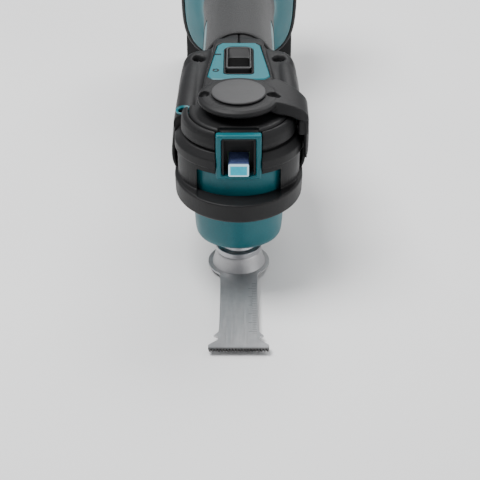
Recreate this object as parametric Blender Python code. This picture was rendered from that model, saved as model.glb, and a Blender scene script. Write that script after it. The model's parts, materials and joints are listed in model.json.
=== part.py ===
"""Cordless oscillating multi-tool with a plunge-cut blade, a tool-less blade clamp and a slide-on battery.

Every size below is in millimetres, and the helpers turn it into metres.
The tool frame has the spindle's axis at x = 0, y = 0 and the bench at z = 0. The blade points to -Y,
the grip runs back along +Y, and the lock lever's arm points to +X.
The empty named tool carries that frame, so the finished model has its origin under its own middle.
"""

import math

import bmesh
import bpy
from mathutils import Matrix, Vector

MM = 0.001
GAP = 0.3  # clearance between neighbouring pieces

# Overall
BLADE_REACH = 85.0  # spindle axis to tooth tips
REAR_END = 285.0  # spindle axis to the battery's back
MOTOR_Z = 75.0  # height of the motor's axis and of the grip's middle
HALF_WIDTH = 40.0  # rear bumper, the widest piece

# Blade and clamp
BLADE_WIDTH = 32.0
BLADE_LOW, BLADE_HIGH = 2.2, 3.6
TOOTH_COUNT = 20
TOOTH_DEPTH = 1.2
CUP_TOP = 12.0
CLAMP_TRAVEL = 3.0
CLAMP_PIN_Z = 98.3
CLAMP_PIN_R = 1.25
LEVER_SWING = 100.0  # degrees from locked to open

# Drive
ECCENTRIC = 0.95
SHAFT_R = 4.0
STATOR_R = 19.1
MOTOR_FRONT, MOTOR_BACK = 57.0, 81.0

# Head
HEAD_BACK = 4.0
COVER_R = 27.0
COVER_LOW, COVER_HIGH = 53.4, 101.2
FRAME_HALF_WIDTH, FRAME_LOW, FRAME_HIGH = 12.0, 73.6, 99.8
WINDOW_HALF_WIDTH, WINDOW_LOW, WINDOW_HIGH = 9.2, 75.6, 97.6
BAND_HALF_WIDTH, BAND_HIGH = 22.3, 76.2
LEDGE_Z = 63.6
NOSE_LOW = 21.6

# Housing
WALL = 2.4
HOUSING_FRONT, HOUSING_BACK = 4.6, 198.0
SLEEVE_FRONT, SLEEVE_BACK = 97.0, 196.0
BEZEL_TOP = 103.6
REAR_SCREW = (23.4, 75.5)
FRONT_SCREW = (-29.6, 10.0)
SWITCH_SLOT = ((-8.8, 35.5, 96), (8.8, 72.7, 110))
DIAL_SLOT = ((-4.2, 170.6, 90), (4.2, 193.4, 110))
DIAL_CENTRE = (0, 182.0, 92.8)

# Battery
BATTERY_HALF_WIDTH = 37.5
BATTERY_HEIGHT = 115.0
BATTERY_SPLIT = 256.0
CELL_R, CELL_LENGTH, CELL_COUNT = 9.0, 65.0, 5


# ---------------------------------------------------------------- scene, materials and placing

def clear_scene():
    for thing in list(bpy.data.objects):
        bpy.data.objects.remove(thing, do_unlink=True)


def finish(name, colour, roughness, metallic=0.0):
    """A Principled material of one colour."""
    made = bpy.data.materials.new(name)
    made.use_nodes = True
    shader = made.node_tree.nodes["Principled BSDF"]
    shader.inputs["Base Color"].default_value = (*colour, 1.0)
    shader.inputs["Roughness"].default_value = roughness
    shader.inputs["Metallic"].default_value = metallic
    return made


def pivot(name, x=0.0, y=0.0, z=0.0, parent=None):
    """An empty on a joint's axis, or the tool frame itself."""
    empty = bpy.data.objects.new(name, None)
    empty.location = Vector((x, y, z)) * MM
    empty.parent = parent
    bpy.context.scene.collection.objects.link(empty)
    return empty


def add(name, bm, material, at):
    """Makes an object of a mesh drawn in the tool frame, with its origin on the pivot at."""
    bmesh.ops.recalc_face_normals(bm, faces=bm.faces)
    mesh = bpy.data.meshes.new(name)
    bm.to_mesh(mesh)
    bm.free()
    mesh.transform(Matrix.Scale(MM, 4))
    if at is not TOOL:
        mesh.transform(Matrix.Translation(-at.location))
    if material:
        mesh.materials.append(material)
    mesh.shade_smooth()
    mesh.set_sharp_from_angle(angle=math.radians(35))
    made = bpy.data.objects.new(name, mesh)
    made.parent = at
    bpy.context.scene.collection.objects.link(made)
    return made


# ---------------------------------------------------------------- shapes

def turn_to(axis):
    """The rotation that carries +Z to an axis."""
    turns = {"Z": Matrix.Identity(4), "Y": Matrix.Rotation(-math.pi / 2, 4, "X")}
    turns["X"] = Matrix.Rotation(math.pi / 2, 4, "Y")
    return turns[axis]


def turned(name, outline, material, at, axis="Z", centre=(0, 0, 0), steps=24):
    """Spins an outline of (radius, height) points. It is a ring unless it starts and ends on the axis."""
    place = Matrix.Translation(centre) @ turn_to(axis)
    rings = []
    for radius, height in outline:
        if radius > 0:
            circle = arc(radius, 0, 360 - 360 / steps, steps - 1)
            rings.append([place @ Vector((x, y, height)) for x, y in circle])
    return lofted(name, rings, material, at, closed=outline[0][0] > 0)


def rod(name, radius, low, high, material, at, axis="Z", centre=(0, 0, 0), steps=24):
    """A solid cylinder between two heights along an axis."""
    outline = [(0, low), (radius, low), (radius, high), (0, high)]
    return turned(name, outline, material, at, axis, centre, steps)


def lofted(name, rings, material, at, closed=False):
    """Skins rings of equal length. closed joins the last ring to the first in place of end caps."""
    bm = bmesh.new()
    loops = [[bm.verts.new(point) for point in ring] for ring in rings]
    count = len(loops[0])
    pairs = list(zip(loops, loops[1:])) + ([(loops[-1], loops[0])] if closed else [])
    for first, second in pairs:
        for i in range(count):
            j = (i + 1) % count
            bm.faces.new((first[i], first[j], second[j], second[i]))
    if not closed:
        bm.faces.new(loops[0])
        bm.faces.new(loops[-1])
    bmesh.ops.connect_verts_nonplanar(bm, angle_limit=math.radians(0.05), faces=bm.faces)
    return add(name, bm, material, at)


def extruded(name, outline, low, high, material, at, axis="Z"):
    """A prism. The outline holds (x, y) points for Z, (x, z) for Y and (y, z) for X."""
    order = {"Z": (0, 1, 2), "Y": (0, 2, 1), "X": (2, 0, 1)}[axis]
    rings = []
    for level in (low, high):
        points = [(a, b, level) for a, b in outline]
        rings.append([tuple(point[i] for i in order) for point in points])
    return lofted(name, rings, material, at)


def box(name, low, high, material, at, bevel=0.0):
    """A block between two corners, with its edges bevelled if asked."""
    bm = bmesh.new()
    bmesh.ops.create_cube(bm, size=1)
    low, high = Vector(low), Vector(high)
    bmesh.ops.scale(bm, vec=high - low, verts=bm.verts)
    bmesh.ops.translate(bm, vec=(high + low) / 2, verts=bm.verts)
    if bevel:
        bmesh.ops.bevel(bm, geom=bm.edges[:], offset=bevel, segments=1, affect="EDGES")
    return add(name, bm, material, at)


def boolean(part, other, operation="DIFFERENCE"):
    """Cuts, joins or trims part with a helper, which is hidden."""
    other.hide_render = True
    other.display_type = "WIRE"
    modifier = part.modifiers.new(other.name, "BOOLEAN")
    modifier.operation = operation
    modifier.solver = "EXACT"
    modifier.object = other
    return part


def cut_box(part, low, high):
    return boolean(part, box("cut_" + part.name, low, high, None, TOOL))


def cut_rod(part, radius, low, high, axis="Z", centre=(0, 0, 0), steps=24):
    return boolean(part, rod("cut_" + part.name, radius, low, high, None, TOOL, axis, centre, steps))


def arc(radius, start, end, count, centre=(0.0, 0.0)):
    """Points on a circle, angles in degrees."""
    step = (end - start) / count
    angles = [math.radians(start + step * i) for i in range(count + 1)]
    return [(centre[0] + radius * math.cos(a), centre[1] + radius * math.sin(a)) for a in angles]


def superellipse(half_width, half_height, power, count=24):
    """Points round a rounded rectangle: power 2 is an ellipse, and higher is squarer."""
    points = []
    for i in range(count):
        angle = 2 * math.pi * (i + 0.5) / count
        c, s = math.cos(angle), math.sin(angle)
        size = (abs(c) ** power + abs(s) ** power) ** (-1 / power)
        points.append((half_width * c * size, half_height * s * size))
    return points


def head_outline(half_width, depth, back=HEAD_BACK, count=18):
    """The head seen from above: half an ellipse at the front, with straight sides running back."""
    front = [(half_width * c, depth * s) for c, s in arc(1.0, 180, 360, count)]
    return [(-half_width, back)] + front + [(half_width, back)]


# ---------------------------------------------------------------- blade, spindle and clamp

def blade_outline():
    """Collar round the cup, narrow shank, barbs, notches and a toothed edge."""
    half = BLADE_WIDTH / 2
    tip = -BLADE_REACH
    pitch = BLADE_WIDTH / TOOTH_COUNT
    right = [(10.6, -16.0), (10.4, -40.0), (10.7, tip + 18.5), (11.6, tip + 15.2), (13.3, tip + 12.8),
             (10.6, tip + 9.2), (half - 0.5, tip + 4.8), (half, tip + 2.6)]
    teeth = []
    for i in range(TOOTH_COUNT):
        left = half - pitch * i
        teeth.append((left, tip + TOOTH_DEPTH))
        teeth.append((left - pitch / 2, tip))
    teeth.append((-half, tip + TOOTH_DEPTH))
    mirrored = [(-x, y) for x, y in reversed(right)]
    collar = arc(17.5, 232, -52, 24)
    return right + teeth + mirrored + collar


def build_blade():
    blade = extruded("blade", blade_outline(), BLADE_LOW, BLADE_HIGH, STEEL, SWING)
    cut_rod(blade, 13.6, 0, 6)
    cup = [(13.0, BLADE_LOW), (14.9, BLADE_LOW), (15.0, BLADE_HIGH + 0.4), (12.8, 10.6), (12.2, CUP_TOP),
           (8.4, CUP_TOP), (8.4, 10.5), (11.2, 10.5), (13.0, 4.4)]
    boolean(blade, turned("join_cup", cup, None, TOOL), "UNION")


def build_spindle():
    spindle = [(8.0, CUP_TOP + GAP), (13.0, CUP_TOP + GAP), (13.0, 15.4), (10.0, 16.4), (10.0, 84.0),
               (8.5, 84.0), (8.5, 91.0), (7.1, 91.0), (7.1, 38.0), (4.6, 36.0), (4.6, 27.0), (8.0, 25.4)]
    turned("spindle", spindle, BRIGHT_STEEL, SWING)
    fork = arc(14.3, 180, 360, 12) + [(14.3, 34.5), (10.4, 34.5), (10.4, 17.0), (-10.4, 17.0),
                                      (-10.4, 34.5), (-14.3, 34.5)]
    yoke = extruded("swing_yoke", fork, MOTOR_Z - 6, MOTOR_Z + 6, BRIGHT_STEEL, SWING)
    cut_rod(yoke, 10.0 + GAP, 60, 90)


def build_clamp():
    """Shaft with its foot wedge, the cross pin that the cam presses, the spring and two hooked jaws."""
    shaft = [(0, 0), (6.6, 0), (7.0, 0.5), (7.0, 1.5), (3.9, 4.9), (2.0, 5.0), (2.0, 26.0), (3.8, 27.5),
             (3.8, 65.6), (6.5, 65.6), (6.5, 68.5), (3.8, 68.5), (3.8, 100.4), (3.2, 101.0), (0, 101.0)]
    shaft = turned("clamp_shaft", shaft, BRIGHT_STEEL, CLAMP)
    cut_rod(shaft, CLAMP_PIN_R + GAP, -10, 10, "X", (0, 0, CLAMP_PIN_Z), 12)
    rod("clamp_pin", CLAMP_PIN_R, -8.8, 8.8, BRIGHT_STEEL, CLAMP, "X", (0, 0, CLAMP_PIN_Z), 12)
    build_clamp_spring()
    for name, side, at in (("clamp_jaw_right", 0, JAW_RIGHT), ("clamp_jaw_left", 180, JAW_LEFT)):
        jaw(name, side, at)


def build_clamp_spring():
    """A coil of round wire inside the spindle, between its inner shoulder and the shaft's collar."""
    low, high, coil_r, wire_r = 39.3, 64.4, 5.55, 0.8
    turns, steps, sides = 6, 14, 6
    rings = []
    for i in range(turns * steps + 1):
        angle = 2 * math.pi * i / steps
        z = low + (high - low) * i / (turns * steps)
        out = Vector((math.cos(angle), math.sin(angle), 0))
        centre = out * coil_r + Vector((0, 0, z))
        corners = arc(wire_r, 0, 360 - 360 / sides, sides - 1)
        rings.append([centre + out * a + Vector((0, 0, b)) for a, b in corners])
    lofted("clamp_spring", rings, BRIGHT_STEEL, CLAMP)


def jaw(name, side, at):
    """A hooked jaw: part of a ring in the spindle's mouth, with a lip under the blade's cup."""
    outline = [(4.3, 5.4), (6.8, 5.4), (9.3, 7.6), (9.3, 10.1), (7.4, 10.1), (7.4, 24.6), (4.3, 24.6)]
    rings = []
    for degrees in range(-48, 49, 16):
        turn = Matrix.Rotation(math.radians(side + degrees), 3, "Z")
        rings.append([turn @ Vector((r, 0, z)) for r, z in outline])
    lofted(name, rings, STEEL, at)


# ---------------------------------------------------------------- lock lever

def cam_depth(angle):
    """How far the cam's underside reaches down at an angle past the pin's rest place, in degrees."""
    angle %= 180
    if angle <= LEVER_SWING:
        return CLAMP_TRAVEL * angle / LEVER_SWING
    if angle <= LEVER_SWING + 16:
        return CLAMP_TRAVEL
    return CLAMP_TRAVEL * max(0.0, 1 - (angle - LEVER_SWING - 16) / 44)


def build_cam():
    """A ring under the lever's hub with two helical ramps, which push the clamp pin down."""
    steps = 36
    top, face = 105.6, 99.9
    rings = []
    for i in range(steps):
        angle = 360 * i / steps
        turn = math.radians(angle)
        outline = [(5.2, top), (9.3, top), (9.3, face - cam_depth(angle)), (5.2, face - cam_depth(angle))]
        rings.append([(r * math.cos(turn), r * math.sin(turn), z) for r, z in outline])
    lofted("lever_cam", rings, BRIGHT_STEEL, LEVER, closed=True)


# x and z of the arm's middle line, its half thickness, the depth of its front wall, and its back edge
ARM_STATIONS = ((14.0, 107.8, 1.7, 3.0, 17.0), (21.0, 106.9, 1.9, 4.6, 21.6), (28.0, 104.9, 1.9, 3.8, 17.6),
                (33.0, 102.4, 1.8, 3.4, 14.4), (36.0, 99.2, 1.5, 1.9, 13.2), (36.4, 95.0, 1.2, 1.6, 12.4),
                (36.4, 85.0, 1.2, 1.6, 10.8), (36.3, 77.0, 1.0, 1.4, 8.6))
ARM_FRONT = -11.4


def arm_rings():
    """Sections across the arm: a flat top land with a thicker wall under its front edge."""
    rings = []
    for i, (x, z, thick, drop, back) in enumerate(ARM_STATIONS):
        before, after = ARM_STATIONS[max(i - 1, 0)], ARM_STATIONS[min(i + 1, len(ARM_STATIONS) - 1)]
        along = Vector((after[0] - before[0], 0, after[1] - before[1])).normalized()
        across = Vector((-along.z, 0, along.x))
        section = ((ARM_FRONT + 3.4, thick), (back - 1, thick), (back, 0), (back - 1, -thick),
                   (ARM_FRONT + 6, -thick), (ARM_FRONT + 5, -drop), (ARM_FRONT + 1, -drop),
                   (ARM_FRONT, 1 - drop))
        rings.append([Vector((x, y, z)) + across * offset for y, offset in section])
    return rings


def build_lever():
    """Round hub on the head, with an arm over the right side that ends in a downturned finger tab."""
    hub = [(9.6, 96.2), (12.0, 96.2), (12.0, 104.9), (19.0, 104.9), (22.0, 106.6), (22.0, 108.4),
           (21.0, 109.6), (6.0, 109.6), (6.0, 106.0), (9.6, 106.0)]
    lever = turned("lock_lever", hub, BLACK, LEVER, steps=32)
    boolean(lever, lofted("join_arm", arm_rings(), None, TOOL), "UNION")
    boolean(lever, box("join_tab", (31.7, -11.0, 90.2), (37.3, 10.4, 99.4), None, TOOL, 0.8), "UNION")
    cap = [(0, 106.4), (5.6, 106.4), (5.6, 109.9), (14.2, 109.9), (14.5, 110.4), (14.5, 111.2),
           (14.0, 111.6), (0, 111.6)]
    turned("lever_cap", cap, GREY, LEVER, steps=36)


# ---------------------------------------------------------------- gear case and head

def build_gear_case():
    """Casting that holds the spindle's bearings, the yoke's space and the motor's front bearing."""
    case = [(0, 25.6), (17.2, 25.6), (18.0, 26.6), (18.0, 50.0), (19.5, 53.0), (19.5, 98.4), (0, 98.4)]
    case = turned("gear_case", case, ALLOY, TOOL, steps=28)
    boolean(case, box("join_rear", (-20, 0, 57), (20, 46, 90.4), None, TOOL), "UNION")
    flange = rod("join_flange", 22.5, 45, 50, None, TOOL, "Y", (0, 0, MOTOR_Z), 28)
    boolean(case, flange, "UNION")
    bore = [(0, 20.0), (16.3, 20.0), (16.3, 82.0), (13.3, 83.5), (13.3, 92.0), (12.5, 92.0), (12.5, 105.0),
            (0, 105.0)]
    boolean(case, turned("cut_bore", bore, None, TOOL))
    cut_box(case, (-17, 4, 60), (17, 40, 86.4))
    cut_rod(case, 11.3, 41.2, 60, "Y", (0, 0, MOTOR_Z))
    cut_rod(case, 6.0, 36, 48, "Y", (0, 0, MOTOR_Z))
    cut_box(case, (-30, -30, 66), (30, -18.2, 110))


def build_spindle_bearings():
    for name, inner, outer, low, high in (("spindle_bearing_lower", 10.3, 16.0, 27.0, 34.0),
                                          ("spindle_bearing_upper", 8.8, 13.0, 84.4, 89.4)):
        groove = (inner + outer) / 2
        ring = [(inner, low), (groove - 1, low), (groove - 1, low + 0.6), (groove + 1, low + 0.6),
                (groove + 1, low), (outer, low), (outer, high), (inner, high)]
        turned(name, ring, BRIGHT_STEEL, TOOL)
    turned("spindle_seal", [(10.4, 23.8), (16.0, 23.8), (16.0, 26.6), (10.4, 26.6)], RUBBER, TOOL)


def build_nose():
    """Lower cover round the spindle's neck: straight at the sides, tapered at the front."""
    levels = ((NOSE_LOW, 19.5, 15.4), (23.6, 22.6, 18.2), (27.0, 24.0, 20.6), (34.0, 24.4, 22.0),
              (44.0, 24.8, 23.6), (53.0, 25.0, 25.0))
    rings = [[(x, y, z) for x, y in head_outline(width, depth, 20.4)] for z, width, depth in levels]
    nose = lofted("nose_cover", rings, TEAL, TOOL)
    bore = [(0, 20.0), (11.2, 20.0), (11.2, 22.9), (16.4, 23.2), (18.3, 25.2), (18.3, 49.0), (19.9, 51.0),
            (19.9, 55.0), (0, 55.0)]
    boolean(nose, turned("cut_nose", bore, None, TOOL, steps=28))


def front_outline(half_width, depth, back, count=14):
    """The front of the head's outline, cut off straight at back."""
    start = math.degrees(math.asin(-back / depth))
    return [(half_width * c, depth * s) for c, s in arc(1.0, 180 + start, 360 - start, count)]


def build_head_cover():
    """Inner cover of the head: the front band, the window's frame, and a crown notched behind the frame."""
    cover = extruded("head_cover", head_outline(COVER_R, COVER_R), COVER_LOW, COVER_HIGH, TEAL, TOOL)
    wide = FRAME_HALF_WIDTH
    frame = box("join_frame", (-wide, -29, FRAME_LOW), (wide, -20, FRAME_HIGH), None, TOOL, 0.8)
    boolean(cover, frame, "UNION")
    wings = front_outline(COVER_R + 3.2, COVER_R + GAP, -12.5)
    boolean(cover, extruded("join_wings", wings, 61.0, BAND_HIGH + 1.8, None, TOOL), "UNION")
    boolean(cover, rod("join_crown", 22.9, 95.4, COVER_HIGH, None, TOOL, steps=32), "UNION")
    inner = extruded("cut_inner", head_outline(COVER_R - 2.1, COVER_R - 2.1, 20), 40, 99.0, None, TOOL)
    boolean(cover, inner)
    boolean(cover, box("join_sill", (-11.6, -25.8, 94.6), (11.6, -19.8, 99.8), None, TOOL), "UNION")
    cut_box(cover, (-10.6, -27.4, WINDOW_HIGH + 1.2), (10.6, -21.6, 110))
    cut_box(cover, (-WINDOW_HALF_WIDTH, -40, WINDOW_LOW), (WINDOW_HALF_WIDTH, -17, WINDOW_HIGH))
    cut_rod(cover, 12.6, 90, 110)


def build_head_guard():
    """Black outer guard: bumper rim with a ledge, lower wall, ridge, and the pads beside the window."""
    # height, half width, depth
    levels = ((50.8, 33.4, 35.6), (52.8, 34.8, 37.8), (62.4, 35.2, 38.6), (LEDGE_Z, 34.6, 37.8),
              (LEDGE_Z + 0.9, 33.2, 29.6), (79.6, 33.6, 29.6), (80.2, 34.8, 31.8), (86.0, 34.8, 31.8),
              (89.2, 31.4, 29.2), (97.5, 31.0, 28.9), (100.0, 29.4, 28.2))
    rings = [[(x, y, z) for x, y in head_outline(width, depth)] for z, width, depth in levels]
    guard = lofted("head_guard", rings, BLACK, TOOL)
    inner = head_outline(COVER_R + GAP, COVER_R + GAP, 20)
    boolean(guard, extruded("cut_guard", inner, 40, 120, None, TOOL))
    wings = front_outline(COVER_R + 3.2 + GAP, COVER_R + 2 * GAP, -12.2)
    boolean(guard, extruded("cut_wings", wings, 60.7, BAND_HIGH + 2.1, None, TOOL))
    window = FRAME_HALF_WIDTH + GAP
    cut_box(guard, (-window, -50, LEDGE_Z - 0.3), (window, -10, 120))
    cut_box(guard, (-BAND_HALF_WIDTH, -50, LEDGE_Z - 0.6), (BAND_HALF_WIDTH, -13, BAND_HIGH))
    for side in (-1, 1):
        low, high = sorted((side * 20.0, side * 31.2))
        cut_box(guard, (low, -8, 40), (high, 20, 86.6))
        low, high = sorted((side * 24.0, side * 29.0))
        cut_box(guard, (low, -3.0, 80), (high, 21, 95.5))


def build_lamp():
    """Black hood in the window, with a clear light guide on the window's sill and the LED's board behind."""
    wide, low, high = WINDOW_HALF_WIDTH - GAP, WINDOW_LOW + GAP, WINDOW_HIGH - GAP
    well = box("led_housing", (-wide, -28, low), (wide, -19.9, high), BLACK, TOOL)
    cut_box(well, (1.2 - wide, -35, low - 5), (wide - 1.2, -21.2, high - 1.2))
    cut_box(well, (-5.9, -25, low - 5), (5.9, -10, 84.0))
    box("led_lens", (-5.5, -30.7, 76.3), (5.5, -20.0, 83.6), CLEAR, TOOL, 0.5)
    box("led_board", (-7.5, -19.6, 73.0), (7.5, -18.5, 87.0), BOARD, TOOL)


# ---------------------------------------------------------------- motor

def build_motor():
    """Brushless motor in its own tube, with the eccentric that drives the yoke on its shaft."""
    middle = (0, 0, MOTOR_Z)
    tube = [(19.4, 50.4), (22.5, 50.4), (22.5, 54.0), (21.6, 54.5), (21.6, 91.4), (12.5, 93.6), (12.5, 100.0),
            (5.0, 100.0), (5.0, 98.4), (9.8, 98.4), (9.8, 91.7), (19.4, 90.4)]
    turned("motor_housing", tube, BLACK, TOOL, "Y", middle, 28)
    stator = turned("stator", [(11.0, MOTOR_FRONT), (STATOR_R, MOTOR_FRONT), (STATOR_R, MOTOR_BACK),
                               (11.0, MOTOR_BACK)], STEEL, TOOL, "Y", middle, 28)
    for x, z in arc(14.4, 0, 300, 5, (0, MOTOR_Z)):
        cut_rod(stator, 2.6, 50, 90, "Y", (x, 0, z), 10)
    for name, inner, outer, low, high in (("motor_bearing_front", 4.3, 11.0, 41.6, 48.6),
                                          ("motor_bearing_rear", 3.8, 9.5, 92.3, 98.1)):
        race = [(inner, low), (outer, low), (outer, high), (inner, high)]
        turned(name, race, BRIGHT_STEEL, TOOL, "Y", middle)
    shaft = [(0, 35.6), (SHAFT_R, 35.6), (SHAFT_R, 91.0), (3.5, 91.4), (3.5, 99.4), (0, 99.4)]
    shaft = turned("rotor_shaft", shaft, BRIGHT_STEEL, MOTOR, "Y", middle)
    off_centre = (0, 0, MOTOR_Z + ECCENTRIC)
    boolean(shaft, rod("join_pin", 3.2, 26.6, 37.0, None, TOOL, "Y", off_centre), "UNION")
    turned("eccentric_bearing", [(3.5, 27.4), (8.0, 27.4), (8.0, 32.4), (3.5, 32.4)], BRIGHT_STEEL, MOTOR,
           "Y", off_centre)
    weight = arc(10.8, 180, 360, 12, (0, MOTOR_Z)) + [(6.0, MOTOR_Z + 5), (-6.0, MOTOR_Z + 5)]
    weight = extruded("balance_weight", weight, 36.4, 39.4, STEEL, MOTOR, "Y")
    cut_rod(weight, SHAFT_R + GAP, 30, 45, "Y", middle)
    turned("rotor_core", [(4.3, MOTOR_FRONT), (10.4, MOTOR_FRONT), (10.4, MOTOR_BACK), (4.3, MOTOR_BACK)],
           ALLOY, MOTOR, "Y", middle)
    fan = [(4.3, 83.6), (6.6, 83.6), (7.2, 88.4), (18.4, 88.4), (18.4, 89.8), (4.3, 89.8)]
    fan = turned("fan", fan, GREY, MOTOR, "Y", middle, 27)
    for i in range(9):
        vane = box(f"join_vane_{i}", (6.2, 84.2, MOTOR_Z - 0.6), (18.0, 88.8, MOTOR_Z + 0.6), None, TOOL)
        turn = Matrix.Rotation(math.radians(40 * i), 4, "Y")
        centre = Matrix.Translation(Vector(middle) * MM)
        vane.data.transform(centre @ turn @ centre.inverted())
        boolean(fan, vane, "UNION")


def build_dampers():
    """Rubber blocks that carry the motor's tube in the outer housing."""
    for name, side in (("damper_left", -1), ("damper_right", 1)):
        low, high = sorted((side * 22.0, side * 28.9))
        box(name, (low, 64, 67), (high, 76, 83), RUBBER, TOOL, 1.0)


# ---------------------------------------------------------------- housing and grip

# y, half width, bottom, shoulder top, crest half width, crest top
SHOULDER_STATIONS = (
    (HOUSING_FRONT, 36.4, 51.5, 93.0, 19.5, 103.0),
    (24.0, 36.6, 49.0, 94.5, 19.5, BEZEL_TOP),
    (50.0, 35.8, 47.5, 95.0, 17.5, BEZEL_TOP),
    (68.0, 35.2, 47.5, 95.0, 15.5, BEZEL_TOP),
    (84.0, 32.8, 47.8, 95.6, 14.0, 103.2),
)
# y, half width, half height
GRIP_STATIONS = ((97.0, 21.5, 25.8), (140.0, 21.0, 25.4), (180.0, 21.5, 25.8), (HOUSING_BACK, 22.6, 26.8))
GRIP_ANGLES = (-90, -62, -40, -20, 4, 22, 34, 44, 54, 66, 78, 90)


def shoulder_section(half, low, top, crest, peak, inset=0.0):
    """Right half of a section through the shoulders, from the bottom's middle to the crest's middle."""
    half, low, top, crest, peak = half - inset, low + inset, top - inset, crest - inset, peak - inset
    height = top - low
    return [(0, low), (0.52 * half, low), (0.84 * half, low + 0.12 * height), (half, low + 0.34 * height),
            (half, low + 0.64 * height), (0.94 * half, top - 4.5), (0.82 * half, top - 0.6),
            (0.70 * half, top), (crest + 2.2, top + 0.6), (crest, peak - 1.6), (crest - 1.8, peak), (0, peak)]


def grip_section(half_width, half_height, inset=0.0):
    points = []
    for degrees in GRIP_ANGLES:
        angle = math.radians(degrees)
        height = MOTOR_Z + (half_height - inset) * math.sin(angle)
        points.append(((half_width - inset) * math.cos(angle), height))
    return points


def whole_ring(right_half, y):
    """Mirrors a half section and stands it at y."""
    left_half = [(-x, z) for x, z in reversed(right_half[1:-1])]
    return [(x, y, z) for x, z in right_half + left_half]


def housing_rings(inset=0.0, overrun=0.0):
    """Sections of the housing from front to back; overrun pushes the end ones past the ends."""
    rings = [whole_ring(shoulder_section(*station[1:], inset), station[0]) for station in SHOULDER_STATIONS]
    rings += [whole_ring(grip_section(*station[1:], inset), station[0]) for station in GRIP_STATIONS]
    rings[0] = [(x, y - overrun, z) for x, y, z in rings[0]]
    rings[-1] = [(x, y + overrun, z) for x, y, z in rings[-1]]
    return rings


def bezel_outline(grow=0.0):
    """Trapezium with cut corners, wide at the front."""
    right = [(14.2, 30.0 - grow), (17.4 + grow, 33.6), (16.8 + grow, 40.0), (12.4 + grow, 74.6),
             (9.6, 78.0 + grow)]
    return right + [(-x, y) for x, y in reversed(right)]


def cut_housing(half):
    """Takes the hollow, the bezel's pocket, the switch slot, the dial's slot and the screw holes out."""
    boolean(half, lofted("cut_hollow", housing_rings(WALL, 3.0), None, TOOL))
    boolean(half, extruded("cut_pocket", bezel_outline(GAP), 102.0, 110.0, None, TOOL))
    cut_box(half, *SWITCH_SLOT)
    cut_box(half, *DIAL_SLOT)
    cut_box(half, (-25.4, 0, 40), (25.4, 21, 56))
    cut_rod(half, 23.2, 90, 130, steps=32)


def screw_place(side):
    """Where a rear case screw stands, on the left (-1) or the right (1) shoulder."""
    return (side * REAR_SCREW[0], REAR_SCREW[1], 0)


def build_housing():
    """Two clamshell halves that meet on the middle plane."""
    for name, side in (("housing_left", -1), ("housing_right", 1)):
        half = lofted(name, housing_rings(), BLACK, TOOL)
        cut_housing(half)
        low, high = sorted((side * GAP / 2, side * 60.0))
        keep = box("keep_" + name, (low, -20, 0), (high, 260, 160), None, TOOL)
        boolean(half, keep, "INTERSECT")
        boolean(half, rod("join_post", 4.4, 87, 93.4, None, TOOL, "Z", screw_place(side), 14), "UNION")
        cut_rod(half, 3.3, 89.6, 120, "Z", screw_place(side), 12)
        if side < 0:
            build_front_boss(half)
        else:
            # Room for the lever's tab.
            cut_box(half, (27, -20, 74), (60, 15.6, 120))
    rod("boss_screw", 3.2, 89.9, 92.2, BRIGHT_STEEL, TOOL, "Z", (*FRONT_SCREW, 0), 12)
    for name, side in (("case_screw_left", -1), ("case_screw_right", 1)):
        rod(name, 2.9, 89.9, 92.2, BRIGHT_STEEL, TOOL, "Z", screw_place(side), 12)


def build_front_boss(half):
    """A rounded lobe along the left shoulder, and the screw post at its front end."""
    place = (*FRONT_SCREW, 0)
    boolean(half, rod("join_lobe", 5.6, 6.0, 34, None, TOOL, "Y", (-29.3, 0, 86.4), 14), "UNION")
    boolean(half, rod("join_front_post", 5.0, 82, 94.0, None, TOOL, "Z", place, 18), "UNION")
    cut_rod(half, 3.6, 89.6, 120, "Z", place, 14)


def build_grip_sleeve():
    """Rubber sleeve round the grip, open along each side where the housing shows."""
    stations = list(GRIP_STATIONS)
    stations[0] = (SLEEVE_FRONT, *stations[0][1:])
    stations[-1] = (SLEEVE_BACK, *stations[-1][1:])
    outer = [whole_ring(grip_section(w, h, -1.5), y) for y, w, h in stations]
    inner = [whole_ring(grip_section(w, h, -GAP), y) for y, w, h in reversed(stations)]
    sleeve = lofted("grip_sleeve", outer + inner, RUBBER, TOOL, closed=True)
    for side in (-1, 1):
        low, high = sorted((side * 14.0, side * 40.0))
        cut_box(sleeve, (low, 102, 70), (high, 184, 88))
    cut_box(sleeve, *DIAL_SLOT)


def build_switch():
    bezel = extruded("switch_bezel", bezel_outline(), 102.3, BEZEL_TOP + 0.2, TEAL, TOOL)
    cut_box(bezel, *SWITCH_SLOT)
    slider = box("switch_slider", (-10.5, 37, 98.0), (10.5, 76, 99.5), BLACK, SWITCH)
    # The knob and its thumb hollow, seen from the side.
    knob = [(44.0, 99.0), (44.0, 103.2), (44.7, 103.9), (57.0, 104.2), (68.0, 105.0), (69.8, 104.8),
            (71.2, 103.4), (71.2, 99.0)]
    boolean(slider, extruded("join_knob", knob, -7.2, 7.2, None, TOOL, "X"), "UNION")
    hollow = [(45.4, 110.0), (45.8, 101.0), (57.0, 101.0), (61.0, 101.8), (69.0, 104.9), (69.4, 110.0)]
    boolean(slider, extruded("cut_thumb", hollow, -6.1, 6.1, None, TOOL, "X"))
    rod_shape = [(76.3, 99.4), (78.5, 99.4), (80.0, 97.8), (98.5, 97.8), (104.5, 96.4), (118.0, 96.4),
                 (118.0, 94.2), (114.5, 94.2), (114.5, 95.2), (104.5, 95.2), (98.5, 96.9), (78.6, 96.9),
                 (76.3, 98.2)]
    extruded("switch_rod", rod_shape, -2.5, 2.5, GREY, SWITCH, "X")
    box("switch_unit", (-9, 103, 80), (9, 128, 93.8), GREY, TOOL, 0.8)


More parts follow.
